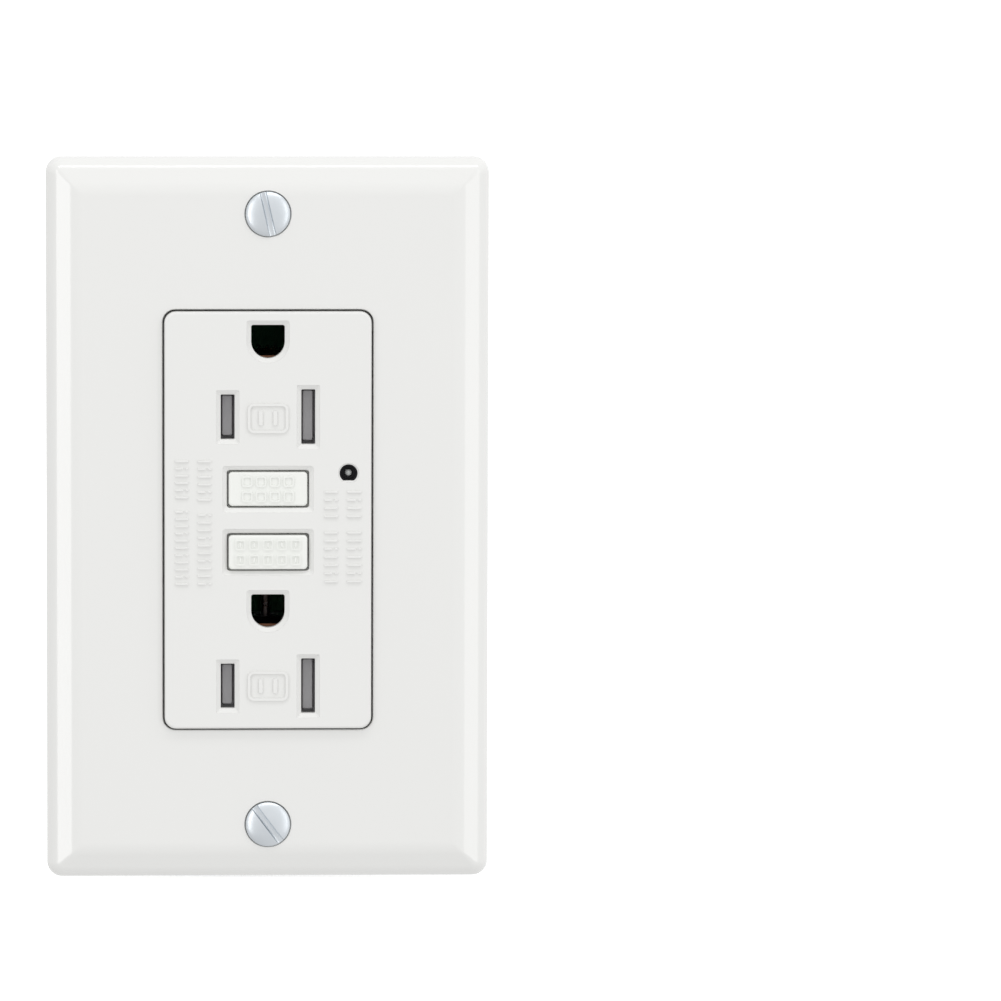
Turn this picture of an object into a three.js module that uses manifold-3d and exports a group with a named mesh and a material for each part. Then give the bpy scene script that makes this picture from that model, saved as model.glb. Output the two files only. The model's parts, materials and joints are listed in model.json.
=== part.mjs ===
// A GFCI duplex outlet with its wall plate, built as separate solids in millimetres.
// +Z is up, the front faces -Y, and the wall surface is the plane y = 0.
import * as THREE from "three";
import { mergeVertices } from "three/addons/utils/BufferGeometryUtils.js";
import Module from "manifold-3d";

const wasm = await Module();
wasm.setup();

// ---------------------------------------------------------------- driving dimensions

const OVERCUT = 0.2; // how far a cutting tool reaches past the face it opens
const GAP = 0.3; // clearance left between neighbouring pieces

// Depths along Y, from the front of the outlet to its back
const FACE_Y = -6.5;
const PLATE_FRONT_Y = -5.5;
const FACE_BACK_Y = -4.5;
const FLANGE_FRONT_Y = -1.4;
const STRAP_FRONT_Y = -1.3;
const WALL_Y = 0;
const FLANGE_BACK_Y = 0.2;
const FRAME_FRONT_Y = 0.6;
const SKIRT_BACK_Y = 3.0;
const FRAME_BACK_Y = 10.0;
const BOARD_FRONT_Y = 20.0;
const BOARD_BACK_Y = 21.6;
const BODY_BACK_Y = 27.0;

// Wall plate: standard one-gang size
const PLATE_HALF_X = 34.925;
const PLATE_HALF_Z = 57.15;
const PLATE_CORNER = 2.4;
const PLATE_OUTSIDE = [[0, 0], [0.15, 1.9], [0.55, 3.2], [1.8, 4.1], [5.2, 5.5]]; // [inset, height]
const PLATE_INSIDE = [[1.9, -OVERCUT], [2.3, 2.0], [5.2, 3.5]];
const OPENING_HALF_X = 16.6;
const OPENING_HALF_Z = 33.34;
const OPENING_CORNER = 2.0;
const PLATE_SCREW_Z = 48.42;

// Receptacle face
const FACE_HALF_X = 16.3;
const FACE_HALF_Z = 33.05;
const FACE_CORNER = 1.8;
const FACE_EDGE = 0.5;
const SLOT_X = 6.35;
const SLOT_HALF_X = 1.1;
const HOT_SLOT_HALF_Z = 3.55;
const NEUTRAL_SLOT_HALF_Z = 4.35;
const GROUND_RADIUS = 2.65;
const HOLE_CHAMFER = 0.8;
const RECEPTACLES = {
  upper: { groundZ: 28.3, slotZ: 16.4 },
  lower: { groundZ: -14.39, slotZ: -26.3 },
};

// Buttons: TEST above the middle, RESET below it
const BUTTON_Z = 5.0;
const BUTTON_WINDOW = [6.5, 3.0]; // half sizes in X and Z
const BUTTON_CAP = [6.2, 2.7];
const BUTTON_FLANGE = [6.9, 3.4];
const TEST_FRONT_Y = -6.4;
const RESET_FRONT_Y = -6.9;
const LIGHT = { x: 12.7, z: 7.48, holeRadius: 1.425, flatZ: -1.15, pipeRadius: 1.0 };

// Body
const BODY_HALF_X = 21.5;
const BODY_HALF_Z = 34.5;
const BODY_WALL = 1.8;
const INNER_HALF_X = 15.2; // space for the works between the terminal pockets
const CORNER_POST = { x: 17.5, z: 30.5, radius: 3.2 };
const BOARD_HALF = [14.8, 32];

// Strap
const STRAP_END_HALF_X = 11.9;
const STRAP_HALF_Z = 52.4;
const EAR_HALF_X = 16.7;
const EAR_START_Z = 45.5;
const MOUNT_SCREW_Z = 41.65;
const GROUND_TAB = { outer: 13.2, z: -40, y: 5, halfZ: 4 };

// Terminals: line at the top of the body, load at the bottom; hot on the left
const HOT = -1;
const NEUTRAL = 1;
const LINE_Z = 14;
const LOAD_Z = -14;
const TERMINAL_SEAT_X = 18.3;
const TERMINAL_Y = 10.5;
const POCKET_HALF_Z = 5.5;
const POCKET_BACK_Y = 17.5;

// Trip mechanism
const PIN_Z = -BUTTON_Z;
const SOLENOID_Y = 15.9;
const SOLENOID_Z = [-28, -17.5];
const ARM_Y = [13.5, 13.9];
const ARM_X = [8.7, 11.3];
const FIXED_CONTACT_Z = -8;
const COIL_Z = 17;

// ---------------------------------------------------------------- shape helpers

// The range from centre - half to centre + half.
const around = (centre, half) => [centre - half, centre + half];

// Turns a three.js geometry into a solid, whichever way round its outline was drawn.
function solid(geometry) {
  const loose = geometry.index ? geometry.toNonIndexed() : geometry;
  const bare = new THREE.BufferGeometry().setAttribute("position", loose.getAttribute("position"));
  const merged = mergeVertices(bare, 1e-4);
  const corners = new Uint32Array(merged.index.array);
  const made = manifoldOf(merged, corners);
  if (made.volume() > 0) return made;
  for (let i = 0; i < corners.length; i += 3) {
    [corners[i + 1], corners[i + 2]] = [corners[i + 2], corners[i + 1]];
  }
  return manifoldOf(merged, corners);
}

function manifoldOf(geometry, triVerts) {
  const vertProperties = geometry.attributes.position.array;
  return new wasm.Manifold(new wasm.Mesh({ numProp: 3, vertProperties, triVerts }));
}

function box([x0, x1], [y0, y1], [z0, z1]) {
  const block = new THREE.BoxGeometry(Math.abs(x1 - x0), y1 - y0, z1 - z0);
  return solid(block.translate((x0 + x1) / 2, (y0 + y1) / 2, (z0 + z1) / 2));
}

// Moves a geometry made about the Y axis onto a parallel of the named axis.
function ontoAxis(geometry, axis, [u, v]) {
  if (axis === "x") return geometry.rotateZ(-Math.PI / 2).translate(0, u, v);
  if (axis === "z") return geometry.rotateX(Math.PI / 2).translate(u, v, 0);
  return geometry.translate(u, 0, v);
}

// A turned solid from [radius, position along the axis] pairs that start and end at radius 0.
function turned(axis, profile, centre, sides = 20) {
  const points = profile.map(([radius, along]) => new THREE.Vector2(radius, along));
  return solid(ontoAxis(new THREE.LatheGeometry(points, sides), axis, centre));
}

function rod(axis, [start, end], radius, centre, sides = 20) {
  return turned(axis, [[0, start], [radius, start], [radius, end], [0, end]], centre, sides);
}

function ring(axis, range, outer, inner, centre, sides = 24) {
  const bore = [range[0] - OVERCUT, range[1] + OVERCUT];
  return rod(axis, range, outer, centre, sides).subtract(rod(axis, bore, inner, centre, sides));
}

// A prism along Z from [x, y] corners.
function prismZ(corners, [z0, z1]) {
  const outline = new THREE.Shape(corners.map(([x, y]) => new THREE.Vector2(x, y)));
  const extruded = new THREE.ExtrudeGeometry(outline, { depth: z1 - z0, bevelEnabled: false });
  return solid(extruded.translate(0, 0, z0));
}

class Helix extends THREE.Curve {
  constructor(radius, start, end, turns) {
    super();
    Object.assign(this, { radius, start, end, turns });
  }

  getPoint(t) {
    const angle = t * this.turns * 2 * Math.PI;
    const along = this.start + t * (this.end - this.start);
    return new THREE.Vector3(this.radius * Math.cos(angle), along, this.radius * Math.sin(angle));
  }
}

// A coil spring whose wire fills the range from start to end.
function spring(axis, [start, end], { radius, wire, turns }, centre) {
  const stepsPerTurn = 10;
  const section = new THREE.Shape([0, 1, 2, 3].map((i) => {
    const angle = (i * Math.PI) / 2;
    return new THREE.Vector2(wire * Math.cos(angle), wire * Math.sin(angle));
  }));
  const extrudePath = new Helix(radius, start + wire, end - wire, turns);
  const steps = Math.round(turns * stepsPerTurn);
  const swept = new THREE.ExtrudeGeometry(section, { steps, extrudePath, bevelEnabled: false });
  return solid(ontoAxis(swept, axis, centre));
}

// Rounded rectangle of [x, z] points, anticlockwise seen from the front.
function roundedRing([cx, cz], [halfX, halfZ], radius, steps = 4) {
  const points = [];
  const corners = [[1, 1, 0], [-1, 1, 1], [-1, -1, 2], [1, -1, 3]];
  for (const [sx, sz, quarter] of corners) {
    for (let i = 0; i <= steps; i++) {
      const angle = ((quarter + i / steps) * Math.PI) / 2;
      points.push([
        cx + sx * (halfX - radius) + radius * Math.cos(angle),
        cz + sz * (halfZ - radius) + radius * Math.sin(angle),
      ]);
    }
  }
  return points;
}

// A solid through rings of [x, z] points, one ring for each depth y, from the back to the front.
function loft(depths, rings) {
  const positions = [];
  const face = (...corners) => corners.forEach((corner) => positions.push(...corner));
  const at = (level, index) => {
    const [x, z] = rings[level][index % rings[level].length];
    return [x, depths[level], z];
  };
  const middle = (level) => {
    const points = rings[level];
    const sum = points.reduce(([a, b], [x, z]) => [a + x, b + z], [0, 0]);
    return [sum[0] / points.length, depths[level], sum[1] / points.length];
  };
  const last = depths.length - 1;
  for (let i = 0; i < rings[0].length; i++) {
    face(middle(0), at(0, i + 1), at(0, i));
    face(middle(last), at(last, i), at(last, i + 1));
    for (let level = 0; level < last; level++) {
      face(at(level, i), at(level, i + 1), at(level + 1, i + 1));
      face(at(level, i), at(level + 1, i + 1), at(level + 1, i));
    }
  }
  const geometry = new THREE.BufferGeometry();
  geometry.setAttribute("position", new THREE.Float32BufferAttribute(positions, 3));
  return solid(geometry);
}

// A rounded block between two depths.
function roundedBlock([y0, y1], centre, half, radius, steps) {
  const outline = roundedRing(centre, half, radius, steps);
  return loft([y1, y0], [outline, outline]);
}

// A tool that cuts a hole through the face and breaks its front edge.
// outline(grow) gives the hole's ring, widened by grow on every side.
function faceHole(outline, chamfer = HOLE_CHAMFER) {
  const depths = [FACE_BACK_Y + OVERCUT, FACE_Y + chamfer, FACE_Y - OVERCUT];
  return loft(depths, [outline(0), outline(0), outline(chamfer + OVERCUT)]);
}

const joined = (first, ...others) => others.reduce((sum, next) => sum.add(next), first);
const cut = (body, ...tools) => tools.reduce((rest, tool) => rest.subtract(tool), body);

// ---------------------------------------------------------------- node list

const outlet = new THREE.Group();
outlet.name = "gfci_outlet";

function addNode(name, shape, finish) {
  const { vertProperties, triVerts } = shape.getMesh();
  const geometry = new THREE.BufferGeometry();
  geometry.setAttribute("position", new THREE.BufferAttribute(vertProperties, 3));
  geometry.setIndex(new THREE.BufferAttribute(triVerts, 1));
  const mesh = new THREE.Mesh(geometry, new THREE.MeshStandardMaterial(finish));
  mesh.name = name;
  outlet.add(mesh);
}

const FINISH = {
  gloss: { color: "#ebebe9", roughness: 0.2, metalness: 0 },
  white: { color: "#ebebe9", roughness: 0.42, metalness: 0 },
  grey: { color: "#85848a", roughness: 0.5, metalness: 0 },
  zinc: { color: "#c9ced3", roughness: 0.34, metalness: 1 },
  brass: { color: "#c9a24a", roughness: 0.3, metalness: 1 },
  copper: { color: "#b87945", roughness: 0.32, metalness: 1 },
  green: { color: "#2f8a4c", roughness: 0.35, metalness: 1 },
  board: { color: "#2c6b45", roughness: 0.6, metalness: 0 },
  black: { color: "#26272b", roughness: 0.5, metalness: 0 },
  fibre: { color: "#a5733f", roughness: 0.75, metalness: 0 },
  blue: { color: "#2d5fa8", roughness: 0.3, metalness: 0 },
  clear: { color: "#e8efe9", roughness: 0.12, metalness: 0 },
};

// ---------------------------------------------------------------- wall plate and its screws

function plateRings(profile) {
  return profile.map(([inset]) => {
    const half = [PLATE_HALF_X - inset, PLATE_HALF_Z - inset];
    return roundedRing([0, 0], half, Math.max(PLATE_CORNER - inset, 0.3));
  });
}

function wallPlate() {
  const collarWall = 2.0;
  const collarBackY = -1.9;
  const bossBackY = -1.7;
  const bossRadius = 3.1;
  const opening = [OPENING_HALF_X, OPENING_HALF_Z];
  const outside = loft(PLATE_OUTSIDE.map(([, height]) => -height), plateRings(PLATE_OUTSIDE));
  const inside = loft(PLATE_INSIDE.map(([, height]) => -height), plateRings(PLATE_INSIDE));
  const collarHalf = opening.map((half) => half + collarWall);
  const collar = roundedBlock([PLATE_FRONT_Y + 1, collarBackY], [0, 0], collarHalf, 3);
  const openingRange = [PLATE_FRONT_Y - OVERCUT, OVERCUT];
  let plate = joined(cut(outside, inside), collar);
  plate = plate.subtract(roundedBlock(openingRange, [0, 0], opening, OPENING_CORNER));
  for (const z of [PLATE_SCREW_Z, -PLATE_SCREW_Z]) {
    const boss = rod("y", [PLATE_FRONT_Y + 1, bossBackY], bossRadius, [0, z]);
    const countersink = turned("y", [
      [0, PLATE_FRONT_Y - OVERCUT],
      [3.95, PLATE_FRONT_Y - OVERCUT],
      [3.95, PLATE_FRONT_Y + 0.4],
      [2.15, PLATE_FRONT_Y + 2.3],
      [2.15, OVERCUT],
      [0, OVERCUT],
    ], [0, z]);
    plate = plate.add(boss).subtract(countersink);
  }
  return plate;
}

// A straight driver slot across a screw head that faces the front.
function frontSlot([width, length], [y0, y1], z, tiltDegrees) {
  const slot = new THREE.BoxGeometry(width, y1 - y0, length);
  slot.rotateY(THREE.MathUtils.degToRad(tiltDegrees));
  return solid(slot.translate(0, (y0 + y1) / 2, z));
}

function plateScrew(z, tiltDegrees) {
  const headTopY = PLATE_FRONT_Y - 1.2;
  const headRadius = 3.65;
  const shankRadius = 1.7;
  const length = 12.7;
  const profile = [
    [0, headTopY],
    [1.5, headTopY + 0.12],
    [2.7, headTopY + 0.5],
    [headRadius, PLATE_FRONT_Y - 0.05],
    [headRadius, PLATE_FRONT_Y + 0.2],
    [shankRadius, PLATE_FRONT_Y + 2.1],
    [shankRadius, headTopY + length - 1],
    [0, headTopY + length],
  ];
  const slotDepths = [headTopY - OVERCUT, headTopY + 1.1];
  return cut(turned("y", profile, [0, z]), frontSlot([1.15, 9], slotDepths, z, tiltDegrees));
}

// ---------------------------------------------------------------- front cover

const groundOutline = (z) => (grow) => {
  const radius = GROUND_RADIUS + grow;
  const points = [[radius, z + radius], [-radius, z + radius]];
  const steps = 10;
  for (let i = 0; i <= steps; i++) {
    const angle = Math.PI * (1 + i / steps);
    points.push([radius * Math.cos(angle), z + radius * Math.sin(angle)]);
  }
  return points;
};

const slotOutline = (x, z, halfZ) => (grow) =>
  roundedRing([x, z], [SLOT_HALF_X + grow, halfZ + grow], 0.2 + grow / 4, 2);

const windowOutline = (z) => (grow) =>
  roundedRing([0, z], BUTTON_WINDOW.map((half) => half + grow), 0.5 + grow / 2, 2);

const lightOutline = (grow) => {
  const points = [];
  const sides = 20;
  for (let i = 0; i < sides; i++) {
    const angle = (2 * Math.PI * i) / sides;
    const radius = LIGHT.holeRadius + grow;
    points.push([
      LIGHT.x + radius * Math.cos(angle),
      LIGHT.z + Math.max(radius * Math.sin(angle), LIGHT.flatZ - grow),
    ]);
  }
  return points;
};

function frontCover() {
  const cavityHalf = [14.9, 32.2];
  const skirtInnerHalf = [BODY_HALF_X - 1.7, BODY_HALF_Z - 1.7];
  const notchHalfX = 12.3;
  const faceHalf = [FACE_HALF_X, FACE_HALF_Z];
  const edgeHalf = faceHalf.map((half) => half - FACE_EDGE);
  let cover = loft(
    [FLANGE_FRONT_Y + 1, FACE_Y + FACE_EDGE, FACE_Y],
    [
      roundedRing([0, 0], faceHalf, FACE_CORNER),
      roundedRing([0, 0], faceHalf, FACE_CORNER),
      roundedRing([0, 0], edgeHalf, FACE_CORNER - FACE_EDGE),
    ],
  );
  const flangeRange = [FLANGE_FRONT_Y, SKIRT_BACK_Y];
  cover = cover.add(roundedBlock(flangeRange, [0, 0], [BODY_HALF_X, BODY_HALF_Z], 1.5, 2));
  const skirtRange = [FLANGE_BACK_Y, SKIRT_BACK_Y + OVERCUT];
  cover = cover.subtract(roundedBlock(skirtRange, [0, 0], skirtInnerHalf, 0.8, 2));
  for (const x of [-CORNER_POST.x, CORNER_POST.x]) {
    for (const z of [-CORNER_POST.z, CORNER_POST.z]) {
      cover = cover.add(rod("y", [FLANGE_FRONT_Y, SKIRT_BACK_Y], CORNER_POST.radius, [x, z], 16));
      cover = cover.subtract(rod("y", [0.5, SKIRT_BACK_Y + OVERCUT], 1.6, [x, z], 16));
    }
  }
  const cavity = box(around(0, cavityHalf[0]), [FACE_BACK_Y, FLANGE_BACK_Y + OVERCUT],
    around(0, cavityHalf[1]));
  cover = cover.subtract(cavity);
  for (const z of [[32, BODY_HALF_Z + OVERCUT], [-BODY_HALF_Z - OVERCUT, -32]]) {
    cover = cover.subtract(box(around(0, notchHalfX), [-1.7, SKIRT_BACK_Y + OVERCUT], z));
  }
  for (const { groundZ, slotZ } of Object.values(RECEPTACLES)) {
    cover = cut(cover,
      faceHole(groundOutline(groundZ)),
      faceHole(slotOutline(-SLOT_X, slotZ, HOT_SLOT_HALF_Z)),
      faceHole(slotOutline(SLOT_X, slotZ, NEUTRAL_SLOT_HALF_Z)));
  }
  for (const z of [BUTTON_Z, -BUTTON_Z]) {
    cover = cover.subtract(faceHole(windowOutline(z), 0.7));
  }
  return cover.subtract(faceHole(lightOutline, 0.15));
}

// ---------------------------------------------------------------- strap and what it carries

function mountingStrap() {
  const depth = [STRAP_FRONT_Y, WALL_Y];
  const bodyPieces = [
    [STRAP_END_HALF_X, [31.8, STRAP_HALF_Z]],
    [EAR_HALF_X, [EAR_START_Z, STRAP_HALF_Z]],
    [8, [21.5, 32]],
    [4.2, [11, 21.6]],
    [10, [-11.3, 11.1]],
    [8, [-21, -11.2]],
    [4.2, [-31.6, -20.9]],
    [STRAP_END_HALF_X, [-STRAP_HALF_Z, -31.5]],
    [EAR_HALF_X, [-STRAP_HALF_Z, -EAR_START_Z]],
  ];
  let strap = joined(...bodyPieces.map(([halfX, z]) => box(around(0, halfX), depth, z)));
  const tabX = [-GROUND_TAB.outer, -STRAP_END_HALF_X + 0.1];
  const tabZ = around(GROUND_TAB.z, GROUND_TAB.halfZ);
  strap = strap.add(box(tabX, [STRAP_FRONT_Y, 9], tabZ));
  const through = [STRAP_FRONT_Y - OVERCUT, WALL_Y + OVERCUT];
  strap = strap.subtract(box(around(0, 7.5), through, around(0, 8.8)));
  for (const { groundZ } of Object.values(RECEPTACLES)) {
    strap = strap.subtract(roundedBlock(through, [0, groundZ], [3.1, 3.1], 1.2, 3));
  }
  for (const side of [1, -1]) {
    const mountSlot = roundedBlock(through, [0, side * MOUNT_SCREW_Z], [3.7, 2.2], 2.15);
    const plateScrewHole = rod("y", through, 2.05, [0, side * PLATE_SCREW_Z]);
    strap = cut(strap, mountSlot, plateScrewHole);
  }
  const screwHole = [-GROUND_TAB.outer - OVERCUT, -STRAP_END_HALF_X + OVERCUT];
  return strap.subtract(rod("x", screwHole, 2.3, [GROUND_TAB.y, GROUND_TAB.z]));
}

function mountingScrew(z) {
  const headTopY = -3.2;
  const profile = [
    [0, headTopY],
    [2.4, headTopY + 0.2],
    [3.2, headTopY + 1],
    [3.2, headTopY + 1.6],
    [1.7, headTopY + 1.6],
    [1.7, 21],
    [0, 22.2],
  ];
  const slotDepths = [headTopY - OVERCUT, headTopY + 0.8];
  return cut(turned("y", profile, [0, z]), frontSlot([1.1, 9], slotDepths, z, 90));
}

function screwRetainer(z) {
  const depth = [WALL_Y + GAP, WALL_Y + 1];
  const card = roundedBlock(depth, [0, z], [4.5, 3.4], 0.6, 2);
  return card.subtract(rod("y", [0, 2], 2.0, [0, z]));
}

function groundContact(z) {
  const baseDepth = [WALL_Y + GAP, WALL_Y + 1.1];
  const base = box(around(0, 4.5), baseDepth, around(z, 3.8));
  const hole = box(around(0, 2.75), [0, 2], around(z, 2.75));
  let contact = base.subtract(hole);
  for (const side of [1, -1]) {
    contact = contact.add(box([side * 2.75, side * 3.3], [baseDepth[0], 9.3], around(z, 2.4)));
  }
  return contact;
}

// ---------------------------------------------------------------- terminals

// Clamp plate outside a tab whose outer face is seatX from the middle.
function terminalClamp(side, seatX, y, z) {
  const thickness = [side * (seatX + 0.4), side * (seatX + 1.6)];
  const plate = box(thickness, around(y, 4.2), around(z, 3.8));
  const hole = [side * (seatX - 1), side * (seatX + 3)].sort((a, b) => a - b);
  return plate.subtract(rod("x", hole, 2.35, [y, z], 16));
}

function terminalScrew(side, seatX, y, z) {
  const profile = [
    [0, seatX + 4.1],
    [2.6, seatX + 4.0],
    [3.4, seatX + 3.4],
    [3.4, seatX + 1.9],
    [1.95, seatX + 1.9],
    [1.95, seatX - 2.1],
    [0, seatX - 2.7],
  ].map(([radius, along]) => [radius, side * along]);
  const slotX = [side * (seatX + 3.2), side * (seatX + 5)];
  return turned("x", profile, [y, z], 16).subtract(box(slotX, around(y, 0.6), around(z, 5)));
}

const GRIP_DEPTH = [3.5, 9.5];
const SPINE_X = [10.2, 11.0];
const FOOT_DEPTH = [3.5, 4.3];

// Side tab of a line or load terminal, with the hole its screw passes through.
function terminalTab(side, z) {
  const tabX = [side * (TERMINAL_SEAT_X - 1), side * TERMINAL_SEAT_X];
  const hole = [side * (TERMINAL_SEAT_X - 2), side * (TERMINAL_SEAT_X + 1)].sort((a, b) => a - b);
  const tab = box(tabX, [FOOT_DEPTH[0], 15.5], around(z, 4.6));
  return tab.subtract(rod("x", hole, 2.3, [TERMINAL_Y, z], 16));
}

function loadContact(side) {
  const x = (near, far) => [side * near, side * far];
  const contactX = side * (SPINE_X[0] + SPINE_X[1]) / 2;
  let contact = joined(
    box(x(...SPINE_X), GRIP_DEPTH, [-30.4, 21.9]),
    box(x(SPINE_X[0], TERMINAL_SEAT_X - 0.5), FOOT_DEPTH, around(LOAD_Z, 1.5)),
    terminalTab(side, LOAD_Z),
    box(x(...SPINE_X), [GRIP_DEPTH[1] - 0.5, 12.2], around(FIXED_CONTACT_Z, 1)),
    rod("y", [12, ARM_Y[0] - 0.9], 1.1, [contactX, FIXED_CONTACT_Z], 12),
  );
  for (const { slotZ } of Object.values(RECEPTACLES)) {
    const bridgeZ = [slotZ + 4.7, slotZ + 5.5];
    contact = joined(contact,
      box(x(5.0, SPINE_X[1]), [GRIP_DEPTH[0], 6.5], bridgeZ),
      box(x(5.0, 5.5), GRIP_DEPTH, [slotZ - 4, bridgeZ[1]]),
      box(x(7.2, 7.7), GRIP_DEPTH, [slotZ - 4, bridgeZ[1]]));
  }
  return contact;
}

function lineTerminal(side) {
  const x = (near, far) => [side * near, side * far];
  const riserX = [13.2, 14.0];
  const lapDepth = [ARM_Y[0] - 0.9, ARM_Y[0] - GAP];
  return joined(
    terminalTab(side, LINE_Z),
    box(x(riserX[0], TERMINAL_SEAT_X - 0.5), FOOT_DEPTH, around(LINE_Z, 1.5)),
    box(x(...riserX), [FOOT_DEPTH[0], lapDepth[1]], around(LINE_Z, 1.5)),
    box(x(ARM_X[0], riserX[1]), lapDepth, [9.2, LINE_Z + 1.5]),
  );
}

function contactArm(side) {
  const contactX = side * (SPINE_X[0] + SPINE_X[1]) / 2;
  const leaf = box(ARM_X.map((x) => side * x), ARM_Y, [-10, 11.2]);
  return leaf.add(rod("y", [ARM_Y[0] - 0.6, ARM_Y[1]], 1.1, [contactX, FIXED_CONTACT_Z], 12));
}

// ---------------------------------------------------------------- shutters

const SHUTTER_DEPTH = [-4.2, -2.6];
const SHUTTER_HALF_Z = 5.4;

function shutter(z) {
  const slabX = [-12, 9];
  let slider = box(slabX, SHUTTER_DEPTH, around(z, SHUTTER_HALF_Z));
  for (const slotX of [-SLOT_X, SLOT_X]) {
    const windowX = [slotX - 4.45, slotX - 1.75];
    const windowZ = around(z, 4.5);
    const rampEnd = slotX + 1.2;
    slider = slider.subtract(box(windowX, [-5, -2], windowZ));
    const ramp = [
      [windowX[1] - 0.1, SHUTTER_DEPTH[1] - 0.5],
      [rampEnd, SHUTTER_DEPTH[0] - 0.01],
      [windowX[1] - 0.1, SHUTTER_DEPTH[0] - 0.01],
    ];
    slider = slider.subtract(prismZ(ramp, windowZ));
  }
  return slider;
}

function shutterBase(z) {
  const tray = box([-14, 14.5], [-2.2, -1.6], around(z, SHUTTER_HALF_Z));
  const holes = [-SLOT_X, SLOT_X].map((x) => box(around(x, 1.5), [-3, -1], around(z, 4.6)));
  return cut(tray, ...holes);
}

function shutterSpring(z) {
  return spring("x", [9.3, 14.6], { radius: 0.55, wire: 0.2, turns: 5 }, [-3.4, z]);
}

// ---------------------------------------------------------------- buttons

const BUTTON_FLANGE_Y = [-4.2, -3.2];

function buttonCap(z, frontY) {
  const edge = 0.4;
  const capHalf = BUTTON_CAP;
  const crown = capHalf.map((half) => half - edge);
  const cap = loft(
    [BUTTON_FLANGE_Y[1], frontY + edge, frontY],
    [
      roundedRing([0, z], capHalf, 0.6, 2),
      roundedRing([0, z], capHalf, 0.6, 2),
      roundedRing([0, z], crown, 0.4, 2),
    ],
  );
  return cap.add(roundedBlock(BUTTON_FLANGE_Y, [0, z], BUTTON_FLANGE, 0.5, 2));
}

function testButton() {
  const leg = box(around(0, 0.9), [BUTTON_FLANGE_Y[1] - 0.2, FRAME_BACK_Y], around(BUTTON_Z, 0.9));
  return buttonCap(BUTTON_Z, TEST_FRONT_Y).add(leg);
}

const resetButton = () => buttonCap(-BUTTON_Z, RESET_FRONT_Y);

function resetPin() {
  const profile = [[0, -2.9], [1.4, -2.9], [1.4, -2.4], [1, -2.3], [1, 16], [0, 16.8]];
  return turned("y", profile, [0, PIN_Z], 12);
}

function buttonSpring(z) {
  return spring("y", [-2.9, 2.0], { radius: 2.2, wire: 0.25, turns: 4 }, [0, z]);
}

function testLeaf() {
  return box(around(0, 1.5), [10.4, 10.8], [1, 10.6]);
}

// ---------------------------------------------------------------- middle frame

function middleFrame() {
  const plateRange = [FRAME_FRONT_Y, SKIRT_BACK_Y];
  const ribRange = [FRAME_FRONT_Y, FRAME_BACK_Y];
  const through = [FRAME_FRONT_Y - OVERCUT, FRAME_BACK_Y + OVERCUT];
  const springWell = [FRAME_FRONT_Y - OVERCUT, 2.3];
  let frame = joined(
    box(around(0, 19.5), plateRange, around(0, 32.5)),
    box(around(0, 12), plateRange, around(0, 34.3)),
    box(around(0, 3.9), ribRange, around(0, 32)),
    box([-12.8, -11.6], ribRange, [-31.5, 26.5]),
    box([11.6, 12.8], ribRange, [-31.5, 26.5]),
  );
  for (const x of [[13.9, 20], [-20, -13.9]]) {
    frame = cut(frame, box(x, through, [26.9, 33]), box(x, through, [-33, -26.9]));
  }
  for (const { groundZ, slotZ } of Object.values(RECEPTACLES)) {
    frame = cut(frame,
      box(around(0, 4.9), [through[0], 1.5], around(groundZ, 4.15)),
      box(around(0, 3.7), through, around(groundZ, 2.8)),
      box(around(SLOT_X, 1.8), [through[0], 3.2], around(slotZ, 4.6)),
      box(around(-SLOT_X, 1.8), [through[0], 3.2], around(slotZ, 4.6)));
  }
  for (const side of [HOT, NEUTRAL]) {
    const footNotch = [side * 11.4, side * 13.5];
    frame = frame.subtract(box(footNotch, [3.05, 4.8], around(LOAD_Z, 2)));
  }
  return cut(frame,
    rod("y", springWell, 2.8, [0, BUTTON_Z]),
    rod("y", springWell, 2.8, [0, -BUTTON_Z]),
    rod("y", through, 1.4, [0, PIN_Z], 16),
    box(around(0, 1.3), through, around(BUTTON_Z, 1.3)),
    rod("y", through, 1.4, [LIGHT.x, LIGHT.z], 16));
}

// ---------------------------------------------------------------- trip mechanism

function latchBlock() {
  const hub = box(around(0, 4), [10.4, 17], [PIN_Z - 2.8, PIN_Z + 3.5]);
  const shoulders = box(around(0, ARM_X[1]), [ARM_Y[1] + GAP, 15.8], around(PIN_Z, 1.5));
  const plateSlot = box(around(0, 2.6), [14.7, 16.1], around(PIN_Z, 5));
  return cut(hub.add(shoulders), plateSlot, rod("y", [10, 18], 1.4, [0, PIN_Z], 16));
}

function latchPlate() {
  const depth = [15, 15.8];
  const plate = box(around(0, 2.2), depth, [-9.2, -2.6]);
  return plate.subtract(roundedBlock([14, 17], [0, PIN_Z - 0.6], [1.4, 2.0], 1.35));
}

const SOLENOID_WALL = 1;
const BOBBIN_Z = [
  SOLENOID_Z[0] + SOLENOID_WALL + GAP,
  SOLENOID_Z[1] - SOLENOID_WALL - GAP,
];
const BOBBIN_FLANGE = 0.8;
const PLUNGER_HEAD_Z = [-32.3, -31.7];
const STRIKER_END_Z = -10.3;

function solenoidFrame() {
  const halfX = 4.5;
  const [low, high] = SOLENOID_Z;
  const wallDepth = [11.3, 19.4];
  const endHoles = rod("z", [low - 1, high + 1], 2.1, [0, SOLENOID_Y], 16);
  return cut(joined(
    box(around(0, halfX), [10.6, 11.4], SOLENOID_Z),
    box(around(0, halfX), wallDepth, [low, low + SOLENOID_WALL]),
    box(around(0, halfX), wallDepth, [high - SOLENOID_WALL, high]),
  ), endHoles);
}

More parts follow.
